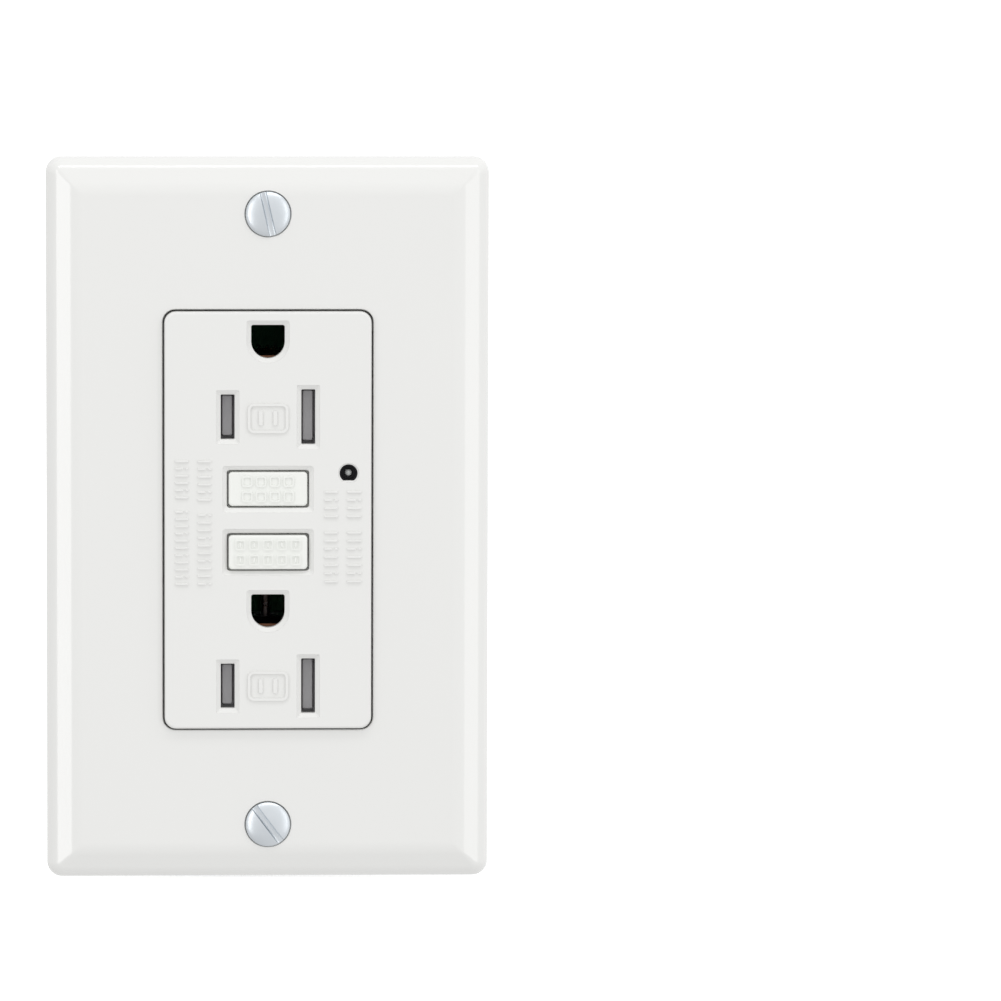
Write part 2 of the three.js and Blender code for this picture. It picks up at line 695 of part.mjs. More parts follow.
function solenoidBobbin() {
  const centre = [0, SOLENOID_Y];
  const [low, high] = BOBBIN_Z;
  const flangeRadius = 3.6;
  const bore = 1.95;
  return joined(
    ring("z", BOBBIN_Z, 2.5, bore, centre),
    ring("z", [low, low + BOBBIN_FLANGE], flangeRadius, bore, centre),
    ring("z", [high - BOBBIN_FLANGE, high], flangeRadius, bore, centre),
  );
}

function solenoidWinding() {
  const inset = BOBBIN_FLANGE + GAP;
  return ring("z", [BOBBIN_Z[0] + inset, BOBBIN_Z[1] - inset], 3.5, 2.8, [0, SOLENOID_Y]);
}

// A headed plunger whose thin striker pushes the edge of the latch plate.
function solenoidPlunger() {
  const [headBack, headFront] = PLUNGER_HEAD_Z;
  const head = 2.8;
  const body = 1.6;
  const striker = 0.7;
  const profile = [
    [0, headBack], [head, headBack], [head, headFront], [body, headFront],
    [body, -20], [striker, -19.5], [striker, STRIKER_END_Z], [0, STRIKER_END_Z],
  ];
  return turned("z", profile, [0, SOLENOID_Y], 16);
}

function plungerSpring() {
  const range = [PLUNGER_HEAD_Z[1] + GAP, SOLENOID_Z[0] - GAP];
  return spring("z", range, { radius: 2.2, wire: 0.2, turns: 3 }, [0, SOLENOID_Y]);
}

// ---------------------------------------------------------------- electronics

function circuitBoard() {
  const depth = [BOARD_FRONT_Y, BOARD_BACK_Y];
  let board = box(around(0, BOARD_HALF[0]), depth, around(0, BOARD_HALF[1]));
  for (const x of [[13.9, 15], [-15, -13.9]]) {
    for (const z of [[26.9, 33], [-33, -26.9]]) {
      board = board.subtract(box(x, [depth[0] - 1, depth[1] + 1], z));
    }
  }
  return board;
}

function senseCoil([y0, y1]) {
  const edge = 0.8;
  const profile = [
    [4.0, y0 + edge], [4.8, y0], [7.7, y0], [8.5, y0 + edge],
    [8.5, y1 - edge], [7.7, y1], [4.8, y1], [4.0, y1 - edge], [4.0, y0 + edge],
  ];
  return turned("y", profile, [0, COIL_Z], 24);
}

const varistor = () => joined(
  rod("x", [-12, -8], 4, [15.3, -20], 20),
  box([-11, -9], [18, BOARD_FRONT_Y - GAP], around(-20, 3)),
);

const filterCapacitor = () => joined(
  rod("z", [-28, -16], 3.6, [9.9, 15.6], 20),
  box([8.5, 11.3], [18, BOARD_FRONT_Y - GAP], around(-22, 4)),
);

const controlChip = () =>
  box(around(0, 5), [BOARD_BACK_Y + GAP, BOARD_BACK_Y + 1.8], around(0, 2));

function lightPipe() {
  return rod("y", [FACE_BACK_Y - 0.1, 18.1], LIGHT.pipeRadius, [LIGHT.x, LIGHT.z], 16);
}

const indicatorLed = () =>
  rod("y", [18.4, BOARD_FRONT_Y - GAP], 1.4, [LIGHT.x, LIGHT.z], 16);

// ---------------------------------------------------------------- rear housing

const HOUSING_FRONT_Y = 3.3;

function rearHousing() {
  const depth = [HOUSING_FRONT_Y, BODY_BACK_Y];
  const insideDepth = [HOUSING_FRONT_Y - OVERCUT, BODY_BACK_Y - BODY_WALL];
  const innerHalfZ = BODY_HALF_Z - BODY_WALL;
  let housing = roundedBlock(depth, [0, 0], [BODY_HALF_X, BODY_HALF_Z], 1.5, 2);
  housing = housing.subtract(box(around(0, INNER_HALF_X), insideDepth, around(0, innerHalfZ)));
  for (const side of [HOT, NEUTRAL]) {
    const sideCavity = [side * (INNER_HALF_X - 0.1), side * (BODY_HALF_X - BODY_WALL)];
    housing = cut(housing,
      box(sideCavity, insideDepth, around(0, 7)),
      box(sideCavity, insideDepth, [21, 26.5]),
      box(sideCavity, insideDepth, [-26.5, -21]));
    for (const z of [CORNER_POST.z, -CORNER_POST.z]) {
      const cornerX = [side * 14.3, side * (BODY_HALF_X - 1)];
      housing = housing.add(box(cornerX, depth, around(z, CORNER_POST.radius)));
    }
    for (const z of [LINE_Z, LOAD_Z]) {
      housing = housing.subtract(terminalPocket(side, z));
    }
  }
  for (const x of [CORNER_POST.x, -CORNER_POST.x]) {
    for (const z of [CORNER_POST.z, -CORNER_POST.z]) {
      housing = cut(housing,
        rod("y", [HOUSING_FRONT_Y - 1, BODY_BACK_Y + 1], 1.6, [x, z], 16),
        rod("y", [23.6, BODY_BACK_Y + 1], 3.0, [x, z], 16));
    }
  }
  return housing;
}

// Everything cut away for one terminal: the pocket, the foot and screw passages, two wire holes.
function terminalPocket(side, z) {
  const outwards = [side * 17, side * (BODY_HALF_X + 1)];
  const innerWall = [side * (INNER_HALF_X - 0.5), side * 17.5];
  const pocket = box(outwards, [HOUSING_FRONT_Y - 1, POCKET_BACK_Y], around(z, POCKET_HALF_Z));
  const footNotch = box(innerWall, [HOUSING_FRONT_Y - 1, 4.9], around(z, 2));
  const screwRange = [...innerWall].sort((a, b) => a - b);
  const screwPassage = rod("x", screwRange, 2.4, [TERMINAL_Y, z], 16);
  const wireHoles = [z - 3, z + 3].map((holeZ) =>
    rod("y", [POCKET_BACK_Y - 1, BODY_BACK_Y + 1], 1.3, [side * 19.4, holeZ], 12));
  return joined(pocket, footNotch, screwPassage, ...wireHoles);
}

function housingScrew(x, z) {
  const profile = [[0, 1], [1.25, 2], [1.25, 24], [2.6, 24], [2.6, 25.4], [0, 25.9]];
  const slot = box(around(x, 0.4), [25, 27], around(z, 3));
  return turned("y", profile, [x, z], 12).subtract(slot);
}

// ---------------------------------------------------------------- assembly

addNode("wall_plate", wallPlate(), FINISH.gloss);
addNode("plate_screw_top", plateScrew(PLATE_SCREW_Z, -13), FINISH.zinc);
addNode("plate_screw_bottom", plateScrew(-PLATE_SCREW_Z, -37), FINISH.zinc);
addNode("front_cover", frontCover(), FINISH.white);

addNode("mounting_strap", mountingStrap(), FINISH.zinc);
for (const [name, z] of [["top", MOUNT_SCREW_Z], ["bottom", -MOUNT_SCREW_Z]]) {
  addNode(`mounting_screw_${name}`, mountingScrew(z), FINISH.zinc);
  addNode(`screw_retainer_${name}`, screwRetainer(z), FINISH.fibre);
}
const groundPlace = [HOT, GROUND_TAB.outer, GROUND_TAB.y, GROUND_TAB.z];
addNode("ground_screw", terminalScrew(...groundPlace), FINISH.green);
addNode("ground_clamp", terminalClamp(...groundPlace), FINISH.zinc);

for (const [name, { groundZ, slotZ }] of Object.entries(RECEPTACLES)) {
  addNode(`ground_contact_${name}`, groundContact(groundZ), FINISH.copper);
  addNode(`shutter_${name}`, shutter(slotZ), FINISH.grey);
  addNode(`shutter_base_${name}`, shutterBase(slotZ), FINISH.white);
  addNode(`shutter_spring_${name}`, shutterSpring(slotZ), FINISH.zinc);
}

addNode("test_button", testButton(), FINISH.white);
addNode("test_spring", buttonSpring(BUTTON_Z), FINISH.zinc);
addNode("test_contact_leaf", testLeaf(), FINISH.copper);
addNode("reset_button", resetButton(), FINISH.white);
addNode("reset_pin", resetPin(), FINISH.zinc);
addNode("reset_spring", buttonSpring(-BUTTON_Z), FINISH.zinc);
addNode("middle_frame", middleFrame(), FINISH.black);

for (const [name, side, finish] of [["hot", HOT, FINISH.brass], ["neutral", NEUTRAL, FINISH.zinc]]) {
  addNode(`load_${name}_contact`, loadContact(side), FINISH.brass);
  addNode(`line_${name}_terminal`, lineTerminal(side), FINISH.brass);
  addNode(`${name}_contact_arm`, contactArm(side), FINISH.copper);
  for (const [end, z] of [["line", LINE_Z], ["load", LOAD_Z]]) {
    const place = [side, TERMINAL_SEAT_X, TERMINAL_Y, z];
    addNode(`${end}_${name}_screw`, terminalScrew(...place), finish);
    addNode(`${end}_${name}_clamp`, terminalClamp(...place), FINISH.zinc);
  }
}

addNode("latch_block", latchBlock(), FINISH.black);
addNode("latch_plate", latchPlate(), FINISH.zinc);
addNode("solenoid_frame", solenoidFrame(), FINISH.zinc);
addNode("solenoid_bobbin", solenoidBobbin(), FINISH.black);
addNode("solenoid_winding", solenoidWinding(), FINISH.copper);
addNode("solenoid_plunger", solenoidPlunger(), FINISH.zinc);
addNode("plunger_spring", plungerSpring(), FINISH.zinc);

addNode("circuit_board", circuitBoard(), FINISH.board);
addNode("fault_sense_coil", senseCoil([12, 15.5]), FINISH.copper);
addNode("grounded_neutral_coil", senseCoil([15.9, BOARD_FRONT_Y - GAP]), FINISH.copper);
addNode("varistor", varistor(), FINISH.blue);
addNode("filter_capacitor", filterCapacitor(), FINISH.black);
addNode("control_chip", controlChip(), FINISH.black);
addNode("indicator_light_pipe", lightPipe(), FINISH.clear);
addNode("indicator_led", indicatorLed(), FINISH.green);

addNode("rear_housing", rearHousing(), FINISH.white);
const screwCorners = [[-1, 1], [1, 1], [-1, -1], [1, -1]];
screwCorners.forEach(([sx, sz], index) => {
  const shape = housingScrew(sx * CORNER_POST.x, sz * CORNER_POST.z);
  addNode(`housing_screw_${index + 1}`, shape, FINISH.zinc);
});

export default outlet;
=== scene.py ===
"""Visual model of the GFCI outlet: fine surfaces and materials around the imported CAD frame."""
import json
import math

import bmesh
import bpy
from mathutils import Matrix, Vector


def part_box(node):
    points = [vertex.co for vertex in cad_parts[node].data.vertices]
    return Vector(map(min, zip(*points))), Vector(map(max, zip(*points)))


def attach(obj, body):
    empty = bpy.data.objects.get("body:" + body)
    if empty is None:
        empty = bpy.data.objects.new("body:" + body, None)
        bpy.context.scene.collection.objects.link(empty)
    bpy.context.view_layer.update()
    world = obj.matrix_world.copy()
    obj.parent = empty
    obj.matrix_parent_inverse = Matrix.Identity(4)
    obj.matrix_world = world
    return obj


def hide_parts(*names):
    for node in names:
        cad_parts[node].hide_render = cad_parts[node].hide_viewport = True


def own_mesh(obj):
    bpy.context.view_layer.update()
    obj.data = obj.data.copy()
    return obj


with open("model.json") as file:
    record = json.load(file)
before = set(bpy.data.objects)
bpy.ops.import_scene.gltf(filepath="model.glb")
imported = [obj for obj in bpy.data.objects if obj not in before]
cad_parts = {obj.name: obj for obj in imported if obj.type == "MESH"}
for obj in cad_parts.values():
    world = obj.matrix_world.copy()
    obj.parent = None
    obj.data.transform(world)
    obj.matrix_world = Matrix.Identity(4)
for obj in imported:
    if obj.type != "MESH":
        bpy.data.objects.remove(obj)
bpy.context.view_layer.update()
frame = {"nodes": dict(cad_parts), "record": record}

MM = 0.001
HOME = "housing"
X, Y, Z = 0, 1, 2


def span(node, axis):
    """Lowest and highest coordinate of a CAD node along an axis, in millimetres."""
    low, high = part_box(node)
    return low[axis] / MM, high[axis] / MM


def middle(node, axis):
    """Middle of a CAD node along an axis."""
    return sum(span(node, axis)) / 2


def extent(node, axis):
    """Length of a CAD node along an axis."""
    low, high = span(node, axis)
    return high - low


# ---- driving dimensions, in millimetres

# Read back from the CAD nodes.
PLATE_HALF_X = span("wall_plate", X)[1]
PLATE_HALF_Z = span("wall_plate", Z)[1]
PLATE_FRONT = span("wall_plate", Y)[0]
FACE_FRONT, SKIRT_BACK = span("front_cover", Y)
BODY_HALF_X = span("rear_housing", X)[1]
BODY_HALF_Z = span("rear_housing", Z)[1]
BODY_BACK = span("rear_housing", Y)[1]
PLATE_SCREW_Z = middle("plate_screw_top", Z)
MOUNT_SCREW_Z = middle("mounting_screw_top", Z)
BUTTON_Z = middle("test_button", Z)
LIGHT_X = middle("indicator_light_pipe", X)
LIGHT_Z = middle("indicator_light_pipe", Z)
RECEPTACLES = {
    level: {"ground": middle("ground_contact_" + level, Z), "slot": middle("shutter_" + level, Z)}
    for level in ("upper", "lower")
}

# The face, and the plate's opening round it.
FACE_HALF = (16.3, 33.05)
FACE_CORNER = 1.8
FACE_ROUND = 0.42
OPENING_HALF = (16.6, 33.34)
OPENING_CORNER = 2.0
OPENING_LIP = 0.22

# Holes in the face. A chamfer is the width of a hole's sloping mouth.
SLOT_X = 6.35
SLOT_HALF_X = 1.1
HOT_SLOT_HALF_Z = 3.55
NEUTRAL_SLOT_HALF_Z = 4.35
GROUND_RADIUS = 2.65
WINDOW_HALF = (6.5, 3.0)
LIGHT_RADIUS = 1.425
LIGHT_FLAT = 1.15
HOLE_CHAMFER = 0.68
WINDOW_CHAMFER = 0.66
LIGHT_CHAMFER = 0.2

# The rear housing: its screws, wire holes and sunk panel.
CORNER_X = 17.5
CORNER_Z = 30.5
SCREW_WELL_RADIUS = 3.04
SCREW_WELL_FLOOR = 23.6
WIRE_HOLE_X = 19.4
WIRE_HOLE_SPREAD = 3.0
WIRE_HOLE_RADIUS = 1.32
WIRE_MOUTH_RADIUS = 1.85
PANEL_FLOOR = BODY_BACK - 0.5

# Raised marks. MARK_SHARP is the angle in degrees above which their edges stay sharp.
MARK_TOP = FACE_FRONT - 0.28
MARK_BASE = FACE_FRONT + 0.1
MARK_SHARP = 18
BUTTON_RELIEF = 0.2

# Screws: 32 threads to the inch, and about the ridge and root radius of a no. 6 shank.
MACHINE_PITCH = 0.794
NUMBER_6 = (1.7, 1.32)

# ---- materials


class Nodes:
    """Small helper to wire a procedural material."""

    def __init__(self, name):
        """New material whose textures follow the object's own coordinates."""
        self.material = bpy.data.materials.new(name)
        self.material.use_nodes = True
        self.tree = self.material.node_tree
        self.shader = self.tree.nodes["Principled BSDF"]
        coordinates = self.tree.nodes.new("ShaderNodeTexCoord")
        self.place = coordinates.outputs["Object"]

    def node(self, kind, **values):
        """New node with its inputs set. An underscore stands for a space in an input's name."""
        made = self.tree.nodes.new(kind)
        for key, value in values.items():
            made.inputs[key.replace("_", " ")].default_value = value
        return made

    def link(self, start, end):
        """Joins an output to an input."""
        self.tree.links.new(start, end)

    def set(self, **values):
        """Sets inputs of the surface shader, named as for a node."""
        for key, value in values.items():
            self.shader.inputs[key.replace("_", " ")].default_value = value

    def noise(self, scale, detail=3.0, stretch=None):
        """Noise from 0 to 1, scaled along the axes where a stretch is given."""
        noise = self.node("ShaderNodeTexNoise", Scale=scale, Detail=detail)
        self.link(self.stretched(stretch), noise.inputs["Vector"])
        return noise.outputs["Fac"]

    def stretched(self, stretch):
        """The object's coordinates, scaled along each axis unless stretch is None."""
        if stretch is None:
            return self.place
        mapping = self.node("ShaderNodeMapping", Scale=stretch)
        self.link(self.place, mapping.inputs["Vector"])
        return mapping.outputs["Vector"]

    def spread(self, factor, low, high):
        """Maps a 0 to 1 factor onto low to high."""
        remap = self.node("ShaderNodeMapRange", To_Min=low, To_Max=high)
        self.link(factor, remap.inputs["Value"])
        return remap.outputs["Result"]

    def mixed(self, factor, first, second):
        """Colour between first and second."""
        mix = self.node("ShaderNodeMix")
        mix.data_type = "RGBA"
        mix.inputs["A"].default_value = (*first, 1)
        mix.inputs["B"].default_value = (*second, 1)
        self.link(factor, mix.inputs["Factor"])
        return mix.outputs["Result"]

    def paint(self, factor, first, second):
        """Colours the surface between first and second."""
        self.link(self.mixed(factor, first, second), self.shader.inputs["Base Color"])

    def polish(self, factor, low, high):
        """Makes the surface's roughness vary from low to high."""
        self.link(self.spread(factor, low, high), self.shader.inputs["Roughness"])

    def bump(self, *layers):
        """Chains bump layers of (height output, strength, distance in metres)."""
        normal = None
        for height, strength, distance in layers:
            bump = self.node("ShaderNodeBump", Strength=strength, Distance=distance)
            self.link(height, bump.inputs["Height"])
            if normal is not None:
                self.link(normal, bump.inputs["Normal"])
            normal = bump.outputs["Normal"]
        self.link(normal, self.shader.inputs["Normal"])


def shade(colour, factor):
    """Colour scaled by a factor."""
    return tuple(channel * factor for channel in colour)


def moulded_plastic(name, colour, roughness, grain, relief, gloss=0.0, specular=0.5):
    """Moulded plastic: fine mould texture, faint flow marks and uneven gloss."""
    made = Nodes(name)
    made.set(IOR=1.5, Coat_Weight=gloss, Coat_Roughness=0.06, Specular_IOR_Level=specular)
    flow = made.noise(scale=45, detail=4.0, stretch=(1, 1, 0.35))
    made.paint(flow, shade(colour, 0.985), colour)
    made.polish(made.noise(scale=160), roughness * 0.85, roughness * 1.2)
    made.bump((made.noise(grain, detail=2.0), relief, 0.00004), (flow, relief * 0.4, 0.00006))
    return made.material


def plated_metal(name, colour, roughness, grain=(1, 1, 1), tint=None):
    """Plated or rolled metal: drawn scratches, cloudy plating and small pits."""
    made = Nodes(name)
    made.set(Metallic=1.0)
    made.paint(made.noise(scale=220, detail=4.0), shade(colour, 0.88), tint or colour)
    scratches = made.noise(scale=1400, detail=2.0, stretch=grain)
    made.polish(scratches, roughness * 0.75, roughness * 1.35)
    pits = made.noise(scale=2600, detail=2.0)
    made.bump((scratches, 0.25, 0.00002), (pits, 0.2, 0.00002))
    return made.material


def fibre_board(name, colour):
    """Pressed fibre or laminate: a woven grain under a dull surface."""
    made = Nodes(name)
    weave = made.node("ShaderNodeTexWave", Scale=900, Distortion=1.5, Detail=2.0)
    made.link(made.place, weave.inputs["Vector"])
    fibres = made.noise(scale=1200, detail=4.0, stretch=(1, 1, 0.2))
    made.paint(fibres, shade(colour, 0.7), colour)
    made.polish(fibres, 0.55, 0.8)
    made.bump((weave.outputs["Fac"], 0.3, 0.00003), (fibres, 0.4, 0.00004))
    return made.material


def clear_plastic(name, colour, roughness, transmission):
    """Clear moulded plastic with faint flow lines inside."""
    made = Nodes(name)
    made.set(IOR=1.49, Transmission_Weight=transmission)
    flow = made.noise(scale=500, stretch=(1, 0.2, 1))
    made.paint(flow, shade(colour, 0.9), colour)
    made.polish(flow, roughness, roughness * 2)
    made.bump((flow, 0.1, 0.00002))
    return made.material


def enamelled_wire(name, colour):
    """Wound enamelled wire with glossy, cloudy varnish."""
    made = Nodes(name)
    made.set(Metallic=0.75, Coat_Weight=0.6, Coat_Roughness=0.15)
    varnish = made.noise(scale=700, detail=4.0)
    made.paint(varnish, shade(colour, 0.6), colour)
    made.polish(varnish, 0.25, 0.45)
    made.bump((varnish, 0.3, 0.00003))
    return made.material


def make_materials():
    """Every finish, made by its family's function and kept under its slot's name."""
    white = (0.745, 0.745, 0.730)
    families = {
        moulded_plastic: {
            "plate_plastic": dict(colour=white, roughness=0.22, grain=500, relief=0.05, gloss=0.9),
            "face_plastic": dict(colour=white, roughness=0.42, grain=1800, relief=0.12),
            "button_plastic": dict(colour=(0.80, 0.81, 0.78), roughness=0.38, grain=1800, relief=0.12),
            "shutter_plastic": dict(colour=(0.34, 0.335, 0.345), roughness=0.5, grain=2200, relief=0.3),
            "body_plastic": dict(colour=(0.74, 0.74, 0.71), roughness=0.48, grain=1500, relief=0.35),
            "frame_plastic": dict(
                colour=(0.014, 0.014, 0.016), roughness=0.6, grain=1700, relief=0.4, specular=0.15),
            "component_blue": dict(
                colour=(0.03, 0.12, 0.42), roughness=0.3, grain=900, relief=0.3, gloss=0.4),
        },
        plated_metal: {
            "zinc_plated_steel": dict(
                colour=(0.66, 0.71, 0.75), roughness=0.34, grain=(1, 1, 0.15), tint=(0.74, 0.77, 0.80)),
            "spring_steel": dict(colour=(0.55, 0.55, 0.56), roughness=0.28, grain=(0.2, 1, 1)),
            "brass": dict(
                colour=(0.78, 0.57, 0.24), roughness=0.3, grain=(1, 1, 0.1), tint=(0.86, 0.66, 0.30)),
            "copper": dict(
                colour=(0.34, 0.14, 0.08), roughness=0.4, grain=(1, 1, 0.1), tint=(0.46, 0.23, 0.14)),
            "brass_plated_steel": dict(
                colour=(0.80, 0.60, 0.27), roughness=0.3, grain=(1, 1, 0.3), tint=(0.88, 0.70, 0.36)),
            "green_steel": dict(
                colour=(0.05, 0.36, 0.13), roughness=0.35, grain=(1, 1, 0.3), tint=(0.10, 0.48, 0.20)),
        },
        enamelled_wire: {"winding_wire": dict(colour=(0.62, 0.26, 0.10))},
        fibre_board: {
            "fibre_card": dict(colour=(0.45, 0.26, 0.13)),
            "board_laminate": dict(colour=(0.03, 0.22, 0.09)),
        },
        clear_plastic: {
            "clear_plastic": dict(colour=(0.80, 0.82, 0.81), roughness=0.10, transmission=0.30),
            "led_green": dict(colour=(0.18, 0.62, 0.28), roughness=0.1, transmission=0.6),
        },
    }
    made = {}
    for family, finishes in families.items():
        for name, values in finishes.items():
            made[name] = family(name, **values)
    return made


MATERIALS = make_materials()
NODE_SLOT = {part["node"]: part["material_slot"] for part in frame["record"]["subparts"]}

# ---- mesh helpers


def new_object(name, data):
    """New object in the scene from a mesh, camera or light."""
    made = bpy.data.objects.new(name, data)
    bpy.context.scene.collection.objects.link(made)
    return made


def solid(name, points, faces):
    """New object from millimetre points and faces, welded and facing outwards."""
    mesh = bpy.data.meshes.new(name)
    mesh.from_pydata([Vector(point) * MM for point in points], [], faces)
    work = bmesh.new()
    work.from_mesh(mesh)
    bmesh.ops.remove_doubles(work, verts=work.verts, dist=1e-7)
    bmesh.ops.recalc_face_normals(work, faces=work.faces)
    work.to_mesh(mesh)
    work.free()
    return new_object(name, mesh)


def evaluated_mesh(shape):
    """The object's mesh with its modifiers applied."""
    graph = bpy.context.evaluated_depsgraph_get()
    return bpy.data.meshes.new_from_object(shape.evaluated_get(graph))


def cut(shape, *tools):
    """Shape with the tools taken away."""
    return combine(shape, "DIFFERENCE", tools)


def fuse(shape, *others):
    """Shape joined with the others into one solid."""
    return combine(shape, "UNION", others)


def combine(shape, operation, tools):
    """Applies exact booleans and deletes the tools."""
    for tool in tools:
        step = shape.modifiers.new(operation, "BOOLEAN")
        step.operation = operation
        step.solver = "EXACT"
        step.object = tool
    shape.data = evaluated_mesh(shape)
    shape.modifiers.clear()
    for tool in tools:
        bpy.data.objects.remove(tool)
    return shape


def round_edges(shape, width, angle):
    """Adds a bevel to the edges sharper than an angle in radians."""
    bevel = shape.modifiers.new("edge_round", "BEVEL")
    bevel.width = width * MM
    bevel.segments = 2
    bevel.limit_method = "ANGLE"
    bevel.angle_limit = angle


def weigh_normals(shape):
    """Keeps the shading of large faces flat beside small ones."""
    normals = shape.modifiers.new("face_normals", "WEIGHTED_NORMAL")
    normals.keep_sharp = True


def soften(shape, width=0, angle=35):
    """Rounds edges sharper than an angle in degrees, if a width is given, and shades the rest smooth."""
    limit = math.radians(angle)
    if width:
        round_edges(shape, width, limit)
        shape.data = evaluated_mesh(shape)
        shape.modifiers.clear()
    shape.data.shade_smooth()
    shape.data.set_sharp_from_angle(angle=limit)
    weigh_normals(shape)
    return shape


def add_piece(shape, body, slot, *nodes):
    """Puts a finished piece on its body, gives it its finish and hides the CAD nodes it stands for."""
    shape.data.materials.clear()
    shape.data.materials.append(MATERIALS[slot])
    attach(shape, body)
    if nodes:
        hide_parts(*nodes)


def rounded_ring(centre, half, radius, steps=8):
    """Rounded rectangle of (x, z) points, anticlockwise seen from the front."""
    points = []
    for quarter, (sx, sz) in enumerate([(1, 1), (-1, 1), (-1, -1), (1, -1)]):
        for i in range(steps + 1):
            angle = (quarter + i / steps) * math.pi / 2
            points.append((
                centre[0] + sx * (half[0] - radius) + radius * math.cos(angle),
                centre[1] + sz * (half[1] - radius) + radius * math.sin(angle),
            ))
    return points


def quarter_turn(steps):
    """Angles of a quarter turn in equal steps, in radians."""
    return [math.radians(90 * i / steps) for i in range(steps + 1)]


def arc(centre, radius, start, end, steps):
    """Points of an arc, angles in degrees."""
    made = []
    for i in range(steps + 1):
        angle = math.radians(start + (end - start) * i / steps)
        made.append((centre[0] + radius * math.cos(angle), centre[1] + radius * math.sin(angle)))
    return made


def skin(levels, count, closed=False):
    """Faces through levels of count points each, capped at both ends or closed into a ring."""
    faces = []
    for level in range(levels if closed else levels - 1):
        start = level * count
        after = (level + 1) % levels * count
        for i in range(count):
            j = (i + 1) % count
            faces.append((start + i, start + j, after + j, after + i))
    if not closed:
        faces.append(tuple(range(count)))
        faces.append(tuple(range((levels - 1) * count, levels * count)))
    return faces


def loft(name, depths, rings, closed=False):
    """Skin through rings of (x, z) points at depths y. closed joins the last ring to the first."""
    points = []
    for depth, ring in zip(depths, rings):
        points += [(x, depth, z) for x, z in ring]
    return solid(name, points, skin(len(rings), len(rings[0]), closed))


def prism(name, depths, ring):
    """Straight solid with one outline between two depths."""
    return loft(name, depths, [ring, ring])


def block(name, x, y, z):
    """Box between two limits on each axis."""
    corners = [(x[i], y[j], z[k]) for i in (0, 1) for j in (0, 1) for k in (0, 1)]
    faces = [(0, 1, 3, 2), (4, 6, 7, 5), (0, 4, 5, 1), (2, 3, 7, 6), (0, 2, 6, 4), (1, 5, 7, 3)]
    return solid(name, corners, faces)


def around(centre, half):
    """Limits at half a length either side of a centre."""
    return centre - half, centre + half


def on_axis(axis, radius, angle, along, centre):
    """Point at an angle about a parallel of an axis. centre holds the two other coordinates."""
    u = centre[0] + radius * math.cos(angle)
    v = centre[1] + radius * math.sin(angle)
    return {X: (along, u, v), Y: (u, along, v), Z: (u, v, along)}[axis]


def lathe(name, axis, profile, centre, sides=48, closed=False):
    """Turned shape from (radius, position) pairs; closed joins the profile's last point to its first."""
    points = []
    for radius, along in profile:
        for i in range(sides):
            points.append(on_axis(axis, radius, 2 * math.pi * i / sides, along, centre))
    return solid(name, points, skin(len(profile), sides, closed))


def threaded(axis, ends, radii, centre, pitch=MACHINE_PITCH, sides=28):
    """Threaded shank from ends[0] to a tapered tip at ends[1], with a true helical ridge."""
    major, minor = radii
    tip_length = 1.2
    tip_share = 0.62
    steps_per_turn = 6
    direction = 1 if ends[1] > ends[0] else -1
    length = abs(ends[1] - ends[0])
    levels = int(length / pitch * steps_per_turn)
    points = []
    for level in range(levels + 1):
        along = length * level / levels
        taper = min(1.0, tip_share + (1 - tip_share) * (length - along) / tip_length)
        near_head = min(1.0, along / pitch)
        for i in range(sides):
            turn = (along / pitch - i / sides) % 1.0
            ridge_height = (1 - abs(2 * turn - 1)) * near_head
            radius = (minor + (major - minor) * ridge_height) * taper
            place = ends[0] + direction * along
            points.append(on_axis(axis, radius, 2 * math.pi * i / sides, place, centre))
    return solid("shank", points, skin(levels + 1, sides))


def wire_along(name, path, radius, sides=8):
    """Round wire along a list of millimetre points, with closed ends."""
    points = []
    count = len(path)
    route = [Vector(point) for point in path]
    up = None
    for i, point in enumerate(route):
        ahead = (route[min(i + 1, count - 1)] - route[max(i - 1, 0)]).normalized()
        if up is None:
            up = ahead.orthogonal().normalized()
        up = (up - ahead * up.dot(ahead)).normalized()
        side = ahead.cross(up)
        for k in range(sides):
            angle = 2 * math.pi * k / sides
            points.append(point + up * radius * math.cos(angle) + side * radius * math.sin(angle))
    return solid(name, points, skin(count, sides))


def merged(name, shapes):
    """One object from several, keeping them as loose solids."""
    work = bmesh.new()
    for shape in shapes:
        work.from_mesh(shape.data)
    mesh = bpy.data.meshes.new(name)
    work.to_mesh(mesh)
    work.free()
    for shape in shapes:
        bpy.data.objects.remove(shape)
    return new_object(name, mesh)


# ---- wall plate


def plate_section():
    """Outside of the plate's edge as (inset, height): upright side, round shoulder, slope, eased crest."""
    slope = 21.8
    crest_radius = 6.0
    crest_inset = 5.9
    shoulder_radius = 3.0
    height = -PLATE_FRONT
    turn = math.radians(90 + slope)
    crest = arc((crest_inset, height - crest_radius), crest_radius, 90 + slope, 90, 8)
    shoulder_end = shoulder_radius * (1 + math.cos(turn))
    rise = math.tan(math.radians(slope)) * (crest[0][0] - shoulder_end)
    centre = crest[0][1] - rise - shoulder_radius * math.sin(turn)
    shoulder = arc((shoulder_radius, centre), shoulder_radius, 180, 90 + slope, 12)
    return [(0.0, 0.0)] + shoulder + crest


def plate_ring(inset):
    """Outline of the plate, drawn in by an inset, with corners that tighten as it goes."""
    half = (PLATE_HALF_X - inset, PLATE_HALF_Z - inset)
    return rounded_ring((0, 0), half, max(2.4 - inset * 0.85, 0.35))


def opening_ring(grow):
    """Outline of the plate's opening, let out by grow."""
    half = tuple(value + grow for value in OPENING_HALF)
    return rounded_ring((0, 0), half, OPENING_CORNER + grow)


def plate_boss(z):
    """Boss behind the plate that a plate screw passes through."""
    radius = 3.1
    return lathe("boss", Y, [(radius, PLATE_FRONT + 1), (radius, -1.7)], (0, z), 40)


